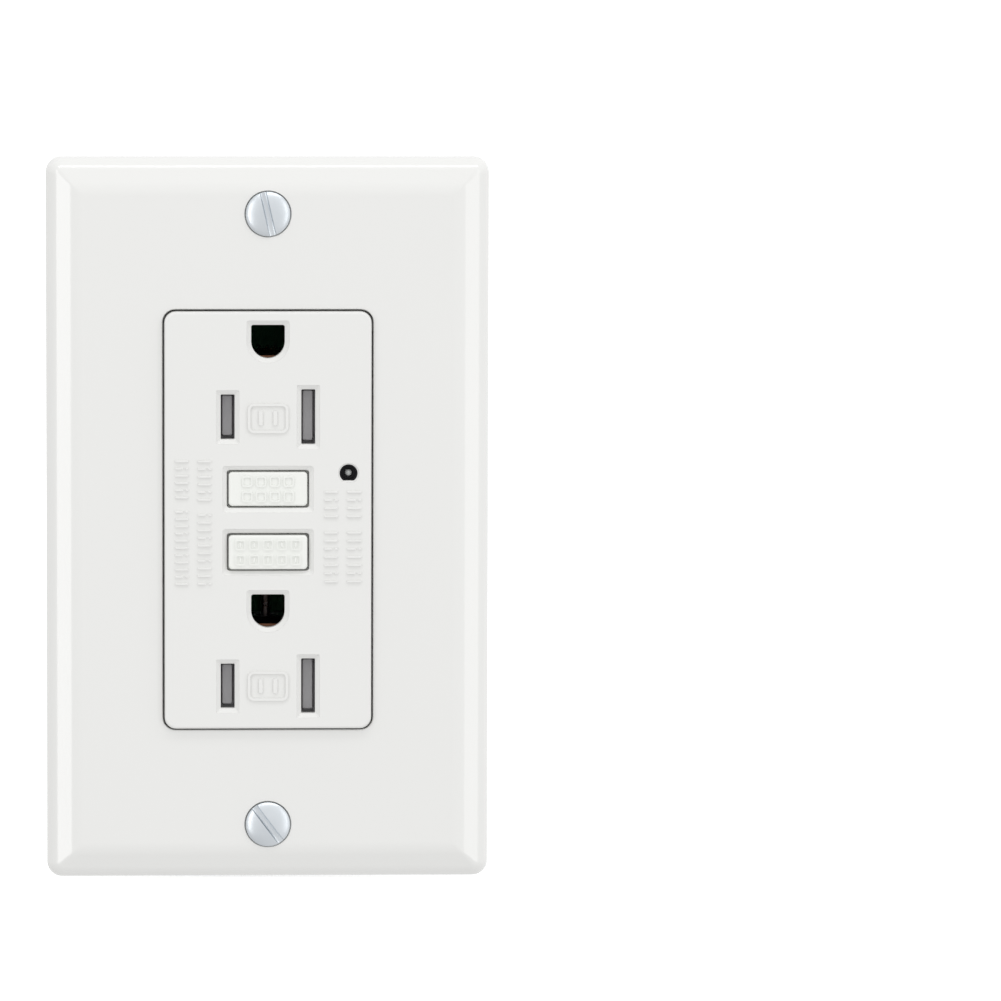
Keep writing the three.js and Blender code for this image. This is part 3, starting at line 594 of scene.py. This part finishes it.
def countersink(z):
    """Tool for a plate screw's hole: an eased mouth, a cone and a clearance bore."""
    bore = 2.15
    profile = [(3.9, PLATE_FRONT - 0.3), (3.72, PLATE_FRONT), (3.6, PLATE_FRONT + 0.3),
               (bore, PLATE_FRONT + 2.3), (bore, 0.5)]
    return lathe("countersink", Y, profile, (0, z), 64)


def wall_plate():
    """Hollow plate with an eased opening, a collar behind it and two countersunk holes."""
    wall = 2.0
    flat_inset = 9.0
    collar_back = -1.9
    roof = PLATE_FRONT + wall
    roof_inset = 6.5
    rim_top = -2.2
    rim_inset = 2.8
    foot_inset = 2.0
    levels = [(-height, plate_ring(inset)) for inset, height in plate_section()]
    levels.append((PLATE_FRONT, plate_ring(flat_inset)))
    for angle in quarter_turn(4):
        depth = PLATE_FRONT + OPENING_LIP * (1 - math.cos(angle))
        levels.append((depth, opening_ring(OPENING_LIP * (1 - math.sin(angle)))))
    levels += [
        (collar_back, opening_ring(0)),
        (collar_back, opening_ring(wall)),
        (roof, opening_ring(wall)),
        (roof, plate_ring(roof_inset)),
        (rim_top, plate_ring(rim_inset)),
        (0, plate_ring(foot_inset)),
    ]
    depths, rings = zip(*levels)
    plate = loft("wall_plate_shell", depths, rings, closed=True)
    places = (PLATE_SCREW_Z, -PLATE_SCREW_Z)
    plate = fuse(plate, *[plate_boss(z) for z in places])
    plate = cut(plate, *[countersink(z) for z in places])
    add_piece(soften(plate), HOME, "plate_plastic", "wall_plate")


# ---- face with its openings


def ground_ring(z, grow):
    """Ground hole outline: flat top with small corners and a half-round bottom."""
    radius = GROUND_RADIUS + grow
    corner = 0.35 + grow * 0.1
    reach = radius - corner
    top = z + radius - corner
    right_corner = arc((reach, top), corner, 0, 90, 4)
    left_corner = arc((-reach, top), corner, 90, 180, 4)
    return right_corner + left_corner + arc((0, z), radius, 180, 360, 18)


def slot_ring(x, z, half_z, grow):
    """Blade slot outline."""
    return rounded_ring((x, z), (SLOT_HALF_X + grow, half_z + grow), 0.15 + grow * 0.1, 4)


def window_ring(z, grow):
    """Button window outline."""
    half = tuple(value + grow for value in WINDOW_HALF)
    return rounded_ring((0, z), half, 0.45 + grow * 0.1, 6)


def light_ring(grow):
    """Indicator hole outline: a circle with its foot cut flat."""
    points = []
    sides = 40
    radius = LIGHT_RADIUS + grow
    for i in range(sides):
        angle = 2 * math.pi * i / sides
        height = max(radius * math.sin(angle), -LIGHT_FLAT - grow)
        points.append((LIGHT_X + radius * math.cos(angle), LIGHT_Z + height))
    return points


def hole_tool(outline, chamfer):
    """Tool that cuts a hole with a chamfered mouth inside a narrow, steep lip."""
    depth = 2.4
    slope = 0.8
    lip_width = 0.05
    lip_depth = 0.13
    floor = FACE_FRONT + lip_depth
    outer = outline(chamfer + lip_width)
    depths = [FACE_FRONT + depth, floor + chamfer * slope, floor, FACE_FRONT, FACE_FRONT - 0.3]
    return loft("hole_tool", depths, [outline(0), outline(0), outline(chamfer), outer, outer])


def raised_face(base):
    """Solid block of the face with its rounded front edge, down to a base depth."""
    depths = [base]
    rings = [rounded_ring((0, 0), FACE_HALF, FACE_CORNER)]
    for angle in quarter_turn(5):
        inset = FACE_ROUND * (1 - math.cos(angle))
        half = tuple(value - inset for value in FACE_HALF)
        depths.append(FACE_FRONT + FACE_ROUND * (1 - math.sin(angle)))
        rings.append(rounded_ring((0, 0), half, FACE_CORNER - inset * 0.8))
    return loft("raised_face", depths, rings)


def corner_post(x, z, front):
    """Post inside the skirt for one housing screw."""
    radius = 3.2
    return lathe("post", Y, [(radius, front), (radius, SKIRT_BACK)], (x, z), 32)


def post_hole(x, z):
    """Tool for the screw hole in a corner post."""
    radius = 1.6
    return lathe("post_hole", Y, [(radius, 0.5), (radius, SKIRT_BACK + 1)], (x, z), 24)


def strap_notch(side):
    """Tool for the notch that the mounting strap passes through at one end of the skirt."""
    ends = sorted((side * 32, side * (BODY_HALF_Z + 1)))
    return block("strap_notch", around(0, 12.3), (-1.7, SKIRT_BACK + 1), ends)


def face_body():
    """The raised face with its walls, flange and skirt, before the holes are cut."""
    flange_front = -1.4
    skirt_wall = 1.7
    skirt_floor = 0.2
    cavity_half = (14.9, 32.2)
    raised = raised_face(flange_front + 0.6)
    outside = rounded_ring((0, 0), (BODY_HALF_X, BODY_HALF_Z), 1.5, 6)
    inside = rounded_ring((0, 0), (BODY_HALF_X - skirt_wall, BODY_HALF_Z - skirt_wall), 0.8, 4)
    flange = prism("flange", (SKIRT_BACK, flange_front), outside)
    skirt_space = prism("skirt_space", (SKIRT_BACK + 1, skirt_floor), inside)
    cavity_depths = (FACE_FRONT + 2, 0.6)
    cavity = block("cavity", around(0, cavity_half[0]), cavity_depths, around(0, cavity_half[1]))
    cover = cut(fuse(raised, flange), skirt_space, cavity)
    corners = [(x, z) for x in (CORNER_X, -CORNER_X) for z in (CORNER_Z, -CORNER_Z)]
    posts = [corner_post(x, z, flange_front + 0.3) for x, z in corners]
    holes = [post_hole(x, z) for x, z in corners]
    return cut(fuse(cover, *posts), *holes, strap_notch(1), strap_notch(-1))


def front_cover():
    """The face with its ground holes, blade slots, button windows and indicator hole."""
    tools = []
    for place in RECEPTACLES.values():
        ground, slot_z = place["ground"], place["slot"]
        tools.append(hole_tool(lambda grow: ground_ring(ground, grow), HOLE_CHAMFER))
        for x, half_z in ((-SLOT_X, HOT_SLOT_HALF_Z), (SLOT_X, NEUTRAL_SLOT_HALF_Z)):
            tools.append(hole_tool(lambda grow: slot_ring(x, slot_z, half_z, grow), HOLE_CHAMFER))
    for z in (BUTTON_Z, -BUTTON_Z):
        tools.append(hole_tool(lambda grow: window_ring(z, grow), WINDOW_CHAMFER))
    tools.append(hole_tool(light_ring, LIGHT_CHAMFER))
    cover = cut(face_body(), *tools)
    add_piece(soften(cover, angle=20), HOME, "face_plastic", "front_cover")


# ---- rear housing


def cad_copy(node):
    """Welded copy of a CAD node's mesh, with its flat faces whole again, to cut and round."""
    source = frame["nodes"][node]
    work = bmesh.new()
    work.from_mesh(source.data)
    work.transform(source.matrix_world)
    bmesh.ops.remove_doubles(work, verts=work.verts, dist=1e-7)
    bmesh.ops.dissolve_limit(work, angle_limit=math.radians(0.5), verts=work.verts, edges=work.edges)
    mesh = bpy.data.meshes.new(node + "_fine")
    work.to_mesh(mesh)
    work.free()
    return new_object(node + "_fine", mesh)


def funnel(x, z):
    """Tool for one wire hole: a flared mouth over a straight throat."""
    profile = [(WIRE_HOLE_RADIUS, BODY_BACK - 4), (WIRE_HOLE_RADIUS, BODY_BACK - 1.3),
               (WIRE_MOUTH_RADIUS, BODY_BACK - 0.35), (WIRE_MOUTH_RADIUS, BODY_BACK + 1)]
    return lathe("funnel", Y, profile, (x, z), 36)


def side_tools(side):
    """Tools for the funnels, screw wells and grooves on one side of the rear housing."""
    tools = []
    for z in sorted({round(middle(end + "_hot_screw", Z), 3) for end in ("line", "load")}):
        tools.append(funnel(side * WIRE_HOLE_X, z - WIRE_HOLE_SPREAD))
        tools.append(funnel(side * WIRE_HOLE_X, z + WIRE_HOLE_SPREAD))
    for z in (CORNER_Z, -CORNER_Z):
        well = [(SCREW_WELL_RADIUS, SCREW_WELL_FLOOR), (SCREW_WELL_RADIUS, BODY_BACK + 1)]
        tools.append(lathe("screw_well", Y, well, (side * CORNER_X, z)))
    for z in (-5.5, 0, 5.5):
        outline = rounded_ring((side * BODY_HALF_X, z), (0.45, 1.1), 0.4, 4)
        tools.append(prism("side_groove", (8, BODY_BACK - 3), outline))
    return tools


def rear_housing():
    """Rear shell with funnelled wire holes, a sunk panel with stiffening ribs and vent grooves."""
    tools = side_tools(1) + side_tools(-1)
    panel = rounded_ring((0, 0), (14.6, 26.0), 1.6)
    tools.append(prism("panel", (PANEL_FLOOR, BODY_BACK + 1), panel))
    for i in range(7):
        vent = rounded_ring((0, -6.6 + 2.2 * i), (7.0, 0.45), 0.44, 5)
        tools.append(prism("vent", (PANEL_FLOOR - 0.7, BODY_BACK + 1), vent))
    shape = cut(cad_copy("rear_housing"), *tools)
    ribs = []
    for z in (-17.0, -12.0, 12.0, 17.0):
        ribs.append(ridge((0, z), (12.0, 0.4), PANEL_FLOOR + 0.45, PANEL_FLOOR - 0.3))
    add_piece(soften(fuse(shape, *ribs), 0.2), HOME, "body_plastic", "rear_housing")


# ---- raised marks


def ridge(centre, half, top, base):
    """Small raised bar with sloping sides. top and base are depths."""
    draft = 0.05
    narrowest = 0.03
    radius = min(half) * 0.6
    rings = []
    for grow in (draft, 0, -draft * 0.8):
        size = tuple(max(value + grow, narrowest) for value in half)
        rings.append(rounded_ring(centre, size, min(radius, min(size) * 0.9), 3))
    return loft("ridge", [base, top + draft * 0.5, top], rings)


def frame_mark(centre, half, width, top, base):
    """Raised rounded-rectangle outline."""
    corner = min(1.0, 0.45 * min(half))
    inner_half = tuple(value - width for value in half)
    outer = prism("outer", (base, top), rounded_ring(centre, half, corner, 5))
    inner = prism("inner", (base + 1, top - 1), rounded_ring(centre, inner_half, corner * 0.6, 5))
    return cut(outer, inner)


def rib_column(x, z_top, z_bottom, groups):
    """A column of raised ribs lying across it, in groups with the space of one rib between them."""
    half_width = (x[1] - x[0]) / 2
    centre_x = (x[0] + x[1]) / 2
    slots = sum(groups) + len(groups) - 1
    pitch = (z_top - z_bottom) / slots
    ribs = []
    index = 0
    for group in groups:
        for _ in range(group):
            z = z_top - (index + 0.5) * pitch
            ribs += rib((centre_x, z), half_width, index)
            index += 1
        index += 1
    return ribs


def rib(centre, half_width, index):
    """One rib of a column: whole, or split in two, in a fixed rhythm."""
    thickness = 0.14
    gap = 0.22
    x, z = centre
    lengths = [(x, half_width)]
    if index % 3 == 1:
        long_half = half_width * 0.58
        short_half = half_width - long_half - gap
        lengths = [(x - half_width + long_half, long_half), (x + half_width - short_half, short_half)]
    return [ridge((at, z), (half, thickness), MARK_TOP, MARK_BASE) for at, half in lengths]


def face_marks():
    """Generic raised marks where the real face carries moulded words."""
    columns = [
        ((-14.6, -12.6), 10.0, -10.6, (6, 11)),
        ((-11.05, -8.97), 10.0, -10.6, (6, 10)),
        ((8.9, 10.95), 5.2, -10.3, (4, 7)),
        ((12.5, 14.7), 5.2, -10.3, (4, 7)),
    ]
    shapes = []
    for x, z_top, z_bottom, groups in columns:
        shapes += rib_column(x, z_top, z_bottom, groups)
    for level, shift in (("upper", -0.15), ("lower", 0.05)):
        shapes += shutter_mark(RECEPTACLES[level]["slot"] + shift)
    marks = merged("face_marks", shapes)
    add_piece(soften(marks, angle=MARK_SHARP), HOME, "face_plastic")


def shutter_mark(z):
    """Outlined panel with two bars: a plain sign for a shuttered opening."""
    shapes = [frame_mark((0, z), (3.2, 2.35), 0.42, MARK_TOP, MARK_BASE)]
    for x in (-1.15, 1.15):
        shapes.append(ridge((x, z), (0.3, 1.15), MARK_TOP, MARK_BASE))
    return shapes


# ---- buttons


def button_shape(name, z, front):
    """Cap with eased edges on its retaining flange."""
    half = (6.2, 2.7)
    corner = 0.6
    ease = 0.35
    flange_front = -4.2
    flange_back = -3.2
    depths = [flange_front + 0.4]
    rings = [rounded_ring((0, z), half, corner, 6)]
    for angle in quarter_turn(4):
        inset = ease * (1 - math.cos(angle))
        depths.append(front + ease * (1 - math.sin(angle)))
        eased = tuple(value - inset for value in half)
        rings.append(rounded_ring((0, z), eased, corner - inset * 0.5, 6))
    flange = prism("flange", (flange_back, flange_front), rounded_ring((0, z), (6.9, 3.4), 0.5, 4))
    return fuse(loft(name, depths, rings), flange)


def button_marks(name, z, front, count, barred):
    """Two facing rows of raised signs, one for each way up, with a bar in each if barred."""
    pitch = 2.18
    half = (pitch * 0.38, 0.86)
    base = front + BUTTON_RELIEF + 0.1
    shapes = []
    for row_z in (z + 1.2, z - 1.2):
        for i in range(count):
            x = (i - (count - 1) / 2) * pitch
            shapes.append(frame_mark((x, row_z), half, 0.24, front, base))
            if barred:
                shapes.append(ridge((x, row_z), (0.12, 0.36), front, base))
    return soften(merged(name, shapes), angle=MARK_SHARP)


def test_button():
    """Test button with the leg that bends the contact leaf, and its four signs in each row."""
    front, leg_end = span("test_button", Y)
    shape = button_shape("test_button_cap", BUTTON_Z, front + BUTTON_RELIEF)
    leg = block("leg", around(0, 0.9), (-3.4, leg_end), around(BUTTON_Z, 0.9))
    add_piece(soften(fuse(shape, leg)), "test_push", "button_plastic", "test_button")
    marks = button_marks("test_button_marks", BUTTON_Z, front, 4, False)
    add_piece(marks, "test_push", "button_plastic")


def reset_button():
    """Reset button and its five barred signs in each row."""
    front = span("reset_button", Y)[0]
    shape = button_shape("reset_button_cap", -BUTTON_Z, front + BUTTON_RELIEF)
    add_piece(soften(shape), "reset_push", "button_plastic", "reset_button")
    marks = button_marks("reset_button_marks", -BUTTON_Z, front, 5, True)
    add_piece(marks, "reset_push", "button_plastic")


# ---- shutters and indicator


def shutter(level):
    """Slider with a raised, bevelled pad behind each slot and a window beside it."""
    node = "shutter_" + level
    front, back = span(node, Y)
    z = middle(node, Z)
    step = 1.15
    bevel = 0.12
    pad_half_x = 0.82
    pad_inset_z = 0.36
    pad_shift = (-0.08, 0.1)
    window_x = (-4.45, -1.75)
    slab = block("slab", span(node, X), (front + step, back), span(node, Z))
    pads = []
    windows = []
    for slot_x, half_z in ((-SLOT_X, HOT_SLOT_HALF_Z), (SLOT_X, NEUTRAL_SLOT_HALF_Z)):
        rings = []
        for grow in (bevel, 0.0, -bevel):
            half = (grow + pad_half_x, half_z - pad_inset_z + grow)
            rings.append(rounded_ring((slot_x + pad_shift[0], z + pad_shift[1]), half, 0.25, 4))
        pads.append(loft("pad", [front + step + 0.2, front + bevel, front], rings))
        limits = tuple(slot_x + value for value in window_x)
        windows.append(block("window", limits, (front - 1, back + 1), around(z, 4.5)))
    shape = cut(fuse(slab, *pads), *windows)
    add_piece(soften(shape, 0.08), level + "_shutter", "shutter_plastic", node)


def light_pipe():
    """Clear rod that carries the lamp's light to a small domed lens in the face."""
    node = "indicator_light_pipe"
    front, back = span(node, Y)
    radius = extent(node, X) / 2
    lens = 0.56
    dome = 0.5
    dome_base = front - 0.12
    profile = [(0.01, dome_base - dome)]
    for angle in quarter_turn(6)[1:]:
        profile.append((lens * math.sin(angle), dome_base - dome * math.cos(angle)))
    profile += [(lens, front + 0.1), (lens + 0.1, front + 0.35), (radius, front + 0.45),
                (radius, back - 0.2), (radius - 0.2, back)]
    pipe = lathe("indicator_light_pipe_fine", Y, profile, (LIGHT_X, LIGHT_Z), 40)
    add_piece(soften(pipe, angle=50), HOME, "clear_plastic", node)


def light_collar():
    """Dark sleeve that lines the indicator's hole and masks the light pipe down to a small lens; its
    near-black finish is painted shade for the inside of the hole.
    """
    lens_front = span("indicator_light_pipe", Y)[0]
    clearance = 0.03
    sleeve = prism("indicator_sleeve", (lens_front - 0.05, FACE_FRONT + 0.55), light_ring(-clearance))
    profile = [(1.3, FACE_FRONT), (1.0, lens_front - 0.3), (0.6, lens_front - 0.15), (0.6, lens_front + 1)]
    bore = lathe("bore", Y, profile, (LIGHT_X, LIGHT_Z), 40)
    # The near-black finish paints the inside of the indicator hole dark: painted shade.
    add_piece(soften(cut(sleeve, bore)), HOME, "frame_plastic")


# ---- screws


def driver_slot(width, length, depths, centre, tilt, axis=Y):
    """Slot tool with a rounded floor. tilt is in degrees from +Z towards -X, seen from the front."""
    half = width / 2
    sag = half * 0.5
    steps = 6
    section = [(-half, depths[0]), (half, depths[0])]
    for i in range(steps + 1):
        angle = math.pi * i / steps
        section.append((half * math.cos(angle), depths[1] - sag + sag * math.sin(angle)))
    turn = math.radians(tilt)
    points = []
    for end in (-length / 2, length / 2):
        for across, depth in section:
            u = centre[0] + (across * math.cos(turn) - end * math.sin(turn))
            v = centre[1] + (across * math.sin(turn) + end * math.cos(turn))
            points.append((u, depth, v) if axis == Y else (depth, u, v))
    return solid("slot_tool", points, skin(2, len(section)))


def add_screw(node, head, shank, body=HOME, slot="zinc_plated_steel"):
    """Puts a screw's head and shank in place of its CAD node, as one piece."""
    shape = merged(node + "_fine", [head, shank])
    add_piece(soften(shape, angle=40), body, slot, node)


def plate_screw(name, side, tilt):
    """Oval-head screw in the plate's countersink, with its slot turned by tilt."""
    node = "plate_screw_" + name
    centre = (0, side * PLATE_SCREW_Z)
    top, tip = span(node, Y)
    rim = PLATE_FRONT - 0.12
    radius = 3.5
    edge = math.radians(78)
    profile = [(0.02, top)]
    for i in range(1, 11):
        angle = edge * i / 10
        crown = (rim - top) * math.cos(angle) ** 1.2
        profile.append((radius * math.sin(angle) / math.sin(edge), rim - crown + 0.05))
    profile += [(radius, rim + 0.3), (radius - 0.15, rim + 0.45), (1.7, PLATE_FRONT + 2.1), (1.7, -3.2)]
    head = lathe("head", Y, profile, centre, 64)
    head = cut(head, driver_slot(1.1, 9, (top - 1, top + 1.15), centre, tilt))
    add_screw(node, head, threaded(Y, (-3.4, tip), NUMBER_6, centre))


def mounting_screw(name, side):
    """Low round-head screw that holds the strap to the wall box, with its slot level."""
    node = "mounting_screw_" + name
    centre = (0, side * MOUNT_SCREW_Z)
    top, tip = span(node, Y)
    profile = [(0.02, top), (1.6, top + 0.06), (2.6, top + 0.3), (3.1, top + 0.75), (3.2, top + 1.2),
               (3.2, top + 1.6), (1.7, top + 1.6), (1.7, top + 2.2)]
    head = lathe("head", Y, profile, centre, 40)
    head = cut(head, driver_slot(1.1, 8, (top - 1, top + 0.8), centre, 90))
    add_screw(node, head, threaded(Y, (top + 2, tip), NUMBER_6, centre))


def terminal_screw(node, body, slot):
    """Round-head terminal screw along X with a slot, a collar and a real thread."""
    side = 1 if sum(span(node, X)) > 0 else -1
    inner, reach = sorted(abs(value) for value in span(node, X))
    centre = (middle(node, Y), middle(node, Z))
    profile = [(0.02, reach), (1.5, reach - 0.05), (2.6, reach - 0.35), (3.25, reach - 0.9),
               (3.4, reach - 1.3), (3.4, reach - 2.2), (1.95, reach - 2.2), (1.95, reach - 2.6)]
    head = lathe("head", X, [(radius, side * along) for radius, along in profile], centre, 40)
    depths = (side * (reach + 1), side * (reach - 0.85))
    head = cut(head, driver_slot(1.2, 8, depths, centre, 20, axis=X))
    ends = (side * (reach - 2.4), side * inner)
    add_screw(node, head, threaded(X, ends, (1.95, 1.55), centre), body, slot)


def housing_screw(index):
    """Cross-recess screw driven from the back to close the housing."""
    node = f"housing_screw_{index}"
    x, z = centre = (middle(node, X), middle(node, Z))
    tip, top = span(node, Y)
    profile = [(0.02, top), (1.2, top - 0.05), (2.0, top - 0.35), (2.6, top - 1.0), (2.6, top - 1.9),
               (1.25, top - 1.9), (1.25, top - 2.4)]
    recess = (top - 1.0, top + 1)
    bars = [block("recess", around(x, half_x), recess, around(z, half_z))
            for half_x, half_z in ((0.4, 1.6), (1.6, 0.4))]
    head = cut(lathe("head", Y, profile, centre, 36), *bars)
    add_screw(node, head, threaded(Y, (top - 2.2, tip), (1.25, 0.95), centre, pitch=0.9, sides=20))


# ---- springs and windings


def coil_spring(node, axis, radius, wire, turns):
    """Round-wire spring with closed end turns."""
    low, high = span(node, axis)
    centre = [middle(node, i) for i in (X, Y, Z) if i != axis]
    ground_turns = 0.8
    steps_per_turn = 18
    all_turns = turns + 2 * ground_turns
    steps = int(all_turns * steps_per_turn)
    path = []
    for i in range(steps + 1):
        turn = all_turns * i / steps
        share = min(max((turn - ground_turns) / turns, 0.0), 1.0)
        along = low + wire + (high - low - 2 * wire) * share
        path.append(on_axis(axis, radius, 2 * math.pi * turn, along, centre))
    shape = wire_along(node + "_coil", path, wire)
    shape.data.shade_smooth()
    add_piece(shape, HOME, "spring_steel", node)
    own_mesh(shape)


def springs():
    """Every coil spring."""
    for name, sign in (("test", 1), ("reset", -1)):
        node = name + "_spring"
        coil_spring(node, Y, 2.2, 0.22, 5)
    for level in ("upper", "lower"):
        node = "shutter_spring_" + level
        coil_spring(node, X, 0.55, 0.13, 9)
    node = "plunger_spring"
    coil_spring(node, Z, 2.2, 0.17, 4)


def toroid_core(y0, y1, inner, outer, centre):
    """Ring core with chamfered edges."""
    edge = 0.7
    profile = [(inner, y0 + edge), (inner + edge, y0), (outer - edge, y0), (outer, y0 + edge),
               (outer, y1 - edge), (outer - edge, y1), (inner + edge, y1), (inner, y1 - edge)]
    return lathe("core", Y, profile, centre, 56, closed=True)


def toroid(node, turns, wire):
    """Ring core wound with wire, with a small gap between the winding's two ends."""
    y0, y1 = span(node, Y)
    centre = (middle(node, X), middle(node, Z))
    outer = extent(node, X) / 2
    inner = 4.0
    half_r = (outer - inner) / 2 - wire
    half_y = (y1 - y0) / 2 - wire
    middle_r = (outer + inner) / 2
    middle_y = (y0 + y1) / 2
    steps_per_turn = 16
    squareness = 0.55
    wound_share = 0.985
    path = []
    for i in range(turns * steps_per_turn + 1):
        turn = 2 * math.pi * i / steps_per_turn
        round_ring = 2 * math.pi * i / (turns * steps_per_turn) * wound_share
        c, s = math.cos(turn), math.sin(turn)
        reach = middle_r + half_r * math.copysign(abs(c) ** squareness, c)
        depth = middle_y + half_y * math.copysign(abs(s) ** squareness, s)
        path.append(on_axis(Y, reach, round_ring, depth, centre))
    winding = wire_along("winding", path, wire, 6)
    core = toroid_core(y0 + wire * 2, y1 - wire * 2, inner + wire * 2, outer - wire * 2, centre)
    shape = merged(node + "_wound", [core, winding])
    add_piece(soften(shape, angle=50), HOME, "winding_wire", node)


def solenoid_winding():
    """Wire on the bobbin: one close helix over a core that stands for the layers under it."""
    node = "solenoid_winding"
    z0, z1 = span(node, Z)
    centre = (0, middle(node, Y))
    wire = 0.16
    inner = 2.8
    outer = extent(node, X) / 2 - wire
    steps_per_turn = 20
    steps = int((z1 - z0) / (2 * wire)) * steps_per_turn
    path = []
    for i in range(steps + 1):
        along = z0 + wire + (z1 - z0 - 2 * wire) * (i / steps)
        path.append(on_axis(Z, outer, 2 * math.pi * i / steps_per_turn, along, centre))
    winding = wire_along("winding", path, wire, 6)
    profile = [(inner, z0), (outer, z0), (outer, z1), (inner, z1)]
    core = lathe("core", Z, profile, centre, 40, closed=True)
    shape = merged("solenoid_winding_fine", [core, winding])
    add_piece(soften(shape, angle=50), HOME, "winding_wire", node)


# ---- carried-over CAD nodes


def dress_cad_nodes():
    """Every CAD node still showing gets its finish and eased edges."""
    for name, node in frame["nodes"].items():
        if node.hide_render or not node.material_slots:
            continue
        for entry in node.material_slots:
            entry.material = MATERIALS[NODE_SLOT[name]]
        round_edges(node, 0.12, math.radians(40))
        weigh_normals(node)


# ---- stage, camera and lights


def stage_floor():
    """Plain white floor just under the plate's lower edge, left out of shadows and reflections."""
    gap = 0.0005
    low = -PLATE_HALF_Z * MM - gap
    reach = 6.0
    corners = [(-reach, -reach, low), (reach, -reach, low), (reach, reach, low), (-reach, reach, low)]
    mesh = bpy.data.meshes.new("floor")
    mesh.from_pydata(corners, [], [(0, 1, 2, 3)])
    floor = new_object("floor", mesh)
    paint = bpy.data.materials.new("floor_white")
    paint.use_nodes = True
    shader = paint.node_tree.nodes["Principled BSDF"]
    shader.inputs["Base Color"].default_value = (0.9, 0.9, 0.9, 1)
    shader.inputs["Roughness"].default_value = 0.9
    shader.inputs["Specular IOR Level"].default_value = 0.0
    shader.inputs["Emission Color"].default_value = (1, 1, 1, 1)
    shader.inputs["Emission Strength"].default_value = 0.42
    mesh.materials.append(paint)
    floor.visible_diffuse = False
    floor.visible_glossy = False
    floor.visible_shadow = False


def make_camera():
    """Long lens from slightly above, turned so that the outlet stands left of the middle."""
    place = Vector((-26.1, -1446.4, 159.9)) * MM
    yaw, pitch, roll = (math.radians(value) for value in (2.496, 6.2065, 0.174))
    data = bpy.data.cameras.new("camera")
    data.sensor_width = 36
    data.lens = 330.5
    data.clip_start = 0.05
    data.clip_end = 50
    camera = new_object("camera", data)
    right = Vector((math.cos(yaw), -math.sin(yaw), 0))
    ahead = Vector((math.sin(yaw) * math.cos(pitch), math.cos(yaw) * math.cos(pitch), -math.sin(pitch)))
    up = right.cross(ahead)
    side = right * math.cos(roll) + up * math.sin(roll)
    top = up * math.cos(roll) - right * math.sin(roll)
    turn = Matrix((side, top, -ahead)).transposed()
    camera.matrix_world = Matrix.Translation(place) @ turn.to_4x4()
    bpy.context.scene.camera = camera


def area_light(name, place, size, power):
    """Soft white lamp aimed at the origin."""
    data = bpy.data.lights.new(name, "AREA")
    data.shape = "RECTANGLE"
    data.size, data.size_y = size
    data.energy = power
    lamp = new_object(name, data)
    lamp.location = place
    lamp.rotation_euler = (-Vector(place)).to_track_quat("-Z", "Y").to_euler()


def surround():
    """White world, a little brighter above and to the right."""
    base = 0.915
    world = bpy.data.worlds.new("studio")
    world.use_nodes = True
    tree = world.node_tree
    background = tree.nodes["Background"]
    direction = tree.nodes.new("ShaderNodeTexCoord")
    split = tree.nodes.new("ShaderNodeSeparateXYZ")
    tree.links.new(direction.outputs["Generated"], split.inputs["Vector"])
    strength = None
    for axis, gain in (("X", 0.11), ("Z", 0.12)):
        scale = tree.nodes.new("ShaderNodeMath")
        scale.operation = "MULTIPLY_ADD"
        scale.inputs[1].default_value = gain
        tree.links.new(split.outputs[axis], scale.inputs[0])
        if strength is None:
            scale.inputs[2].default_value = base
        else:
            tree.links.new(strength, scale.inputs[2])
        strength = scale.outputs[0]
    tree.links.new(strength, background.inputs["Strength"])
    background.inputs["Color"].default_value = (1, 1, 1, 1)
    bpy.context.scene.world = world


def studio():
    """White surround, with softboxes for the highlights, shown without any tone curve."""
    surround()
    area_light("top_softbox", (0.05, -0.35, 0.75), (0.9, 0.12), 1.24)
    area_light("left_strip", (-0.62, -0.58, 0.05), (0.2, 0.9), 1.1)
    area_light("right_strip", (0.66, -0.54, 0.05), (0.2, 0.9), 0.62)
    view = bpy.context.scene.view_settings
    view.view_transform = "Standard"
    view.look = "None"


# ---- build


def build():
    """Every visual piece, then the finish of the CAD nodes still showing, then the stage."""
    wall_plate()
    front_cover()
    rear_housing()
    face_marks()
    test_button()
    reset_button()
    shutter("upper")
    shutter("lower")
    light_pipe()
    light_collar()
    plate_screw("top", 1, 13)
    plate_screw("bottom", -1, 37)
    mounting_screw("top", 1)
    mounting_screw("bottom", -1)
    for end in ("line", "load"):
        terminal_screw(end + "_hot_screw", end + "_hot_screw_set", "brass_plated_steel")
        terminal_screw(end + "_neutral_screw", end + "_neutral_screw_set", "zinc_plated_steel")
    terminal_screw("ground_screw", "ground_screw_set", "green_steel")
    for index in (1, 2, 3, 4):
        housing_screw(index)
    springs()
    toroid("fault_sense_coil", 44, 0.2)
    toroid("grounded_neutral_coil", 44, 0.2)
    solenoid_winding()
    dress_cad_nodes()
    stage_floor()
    make_camera()
    studio()


build()
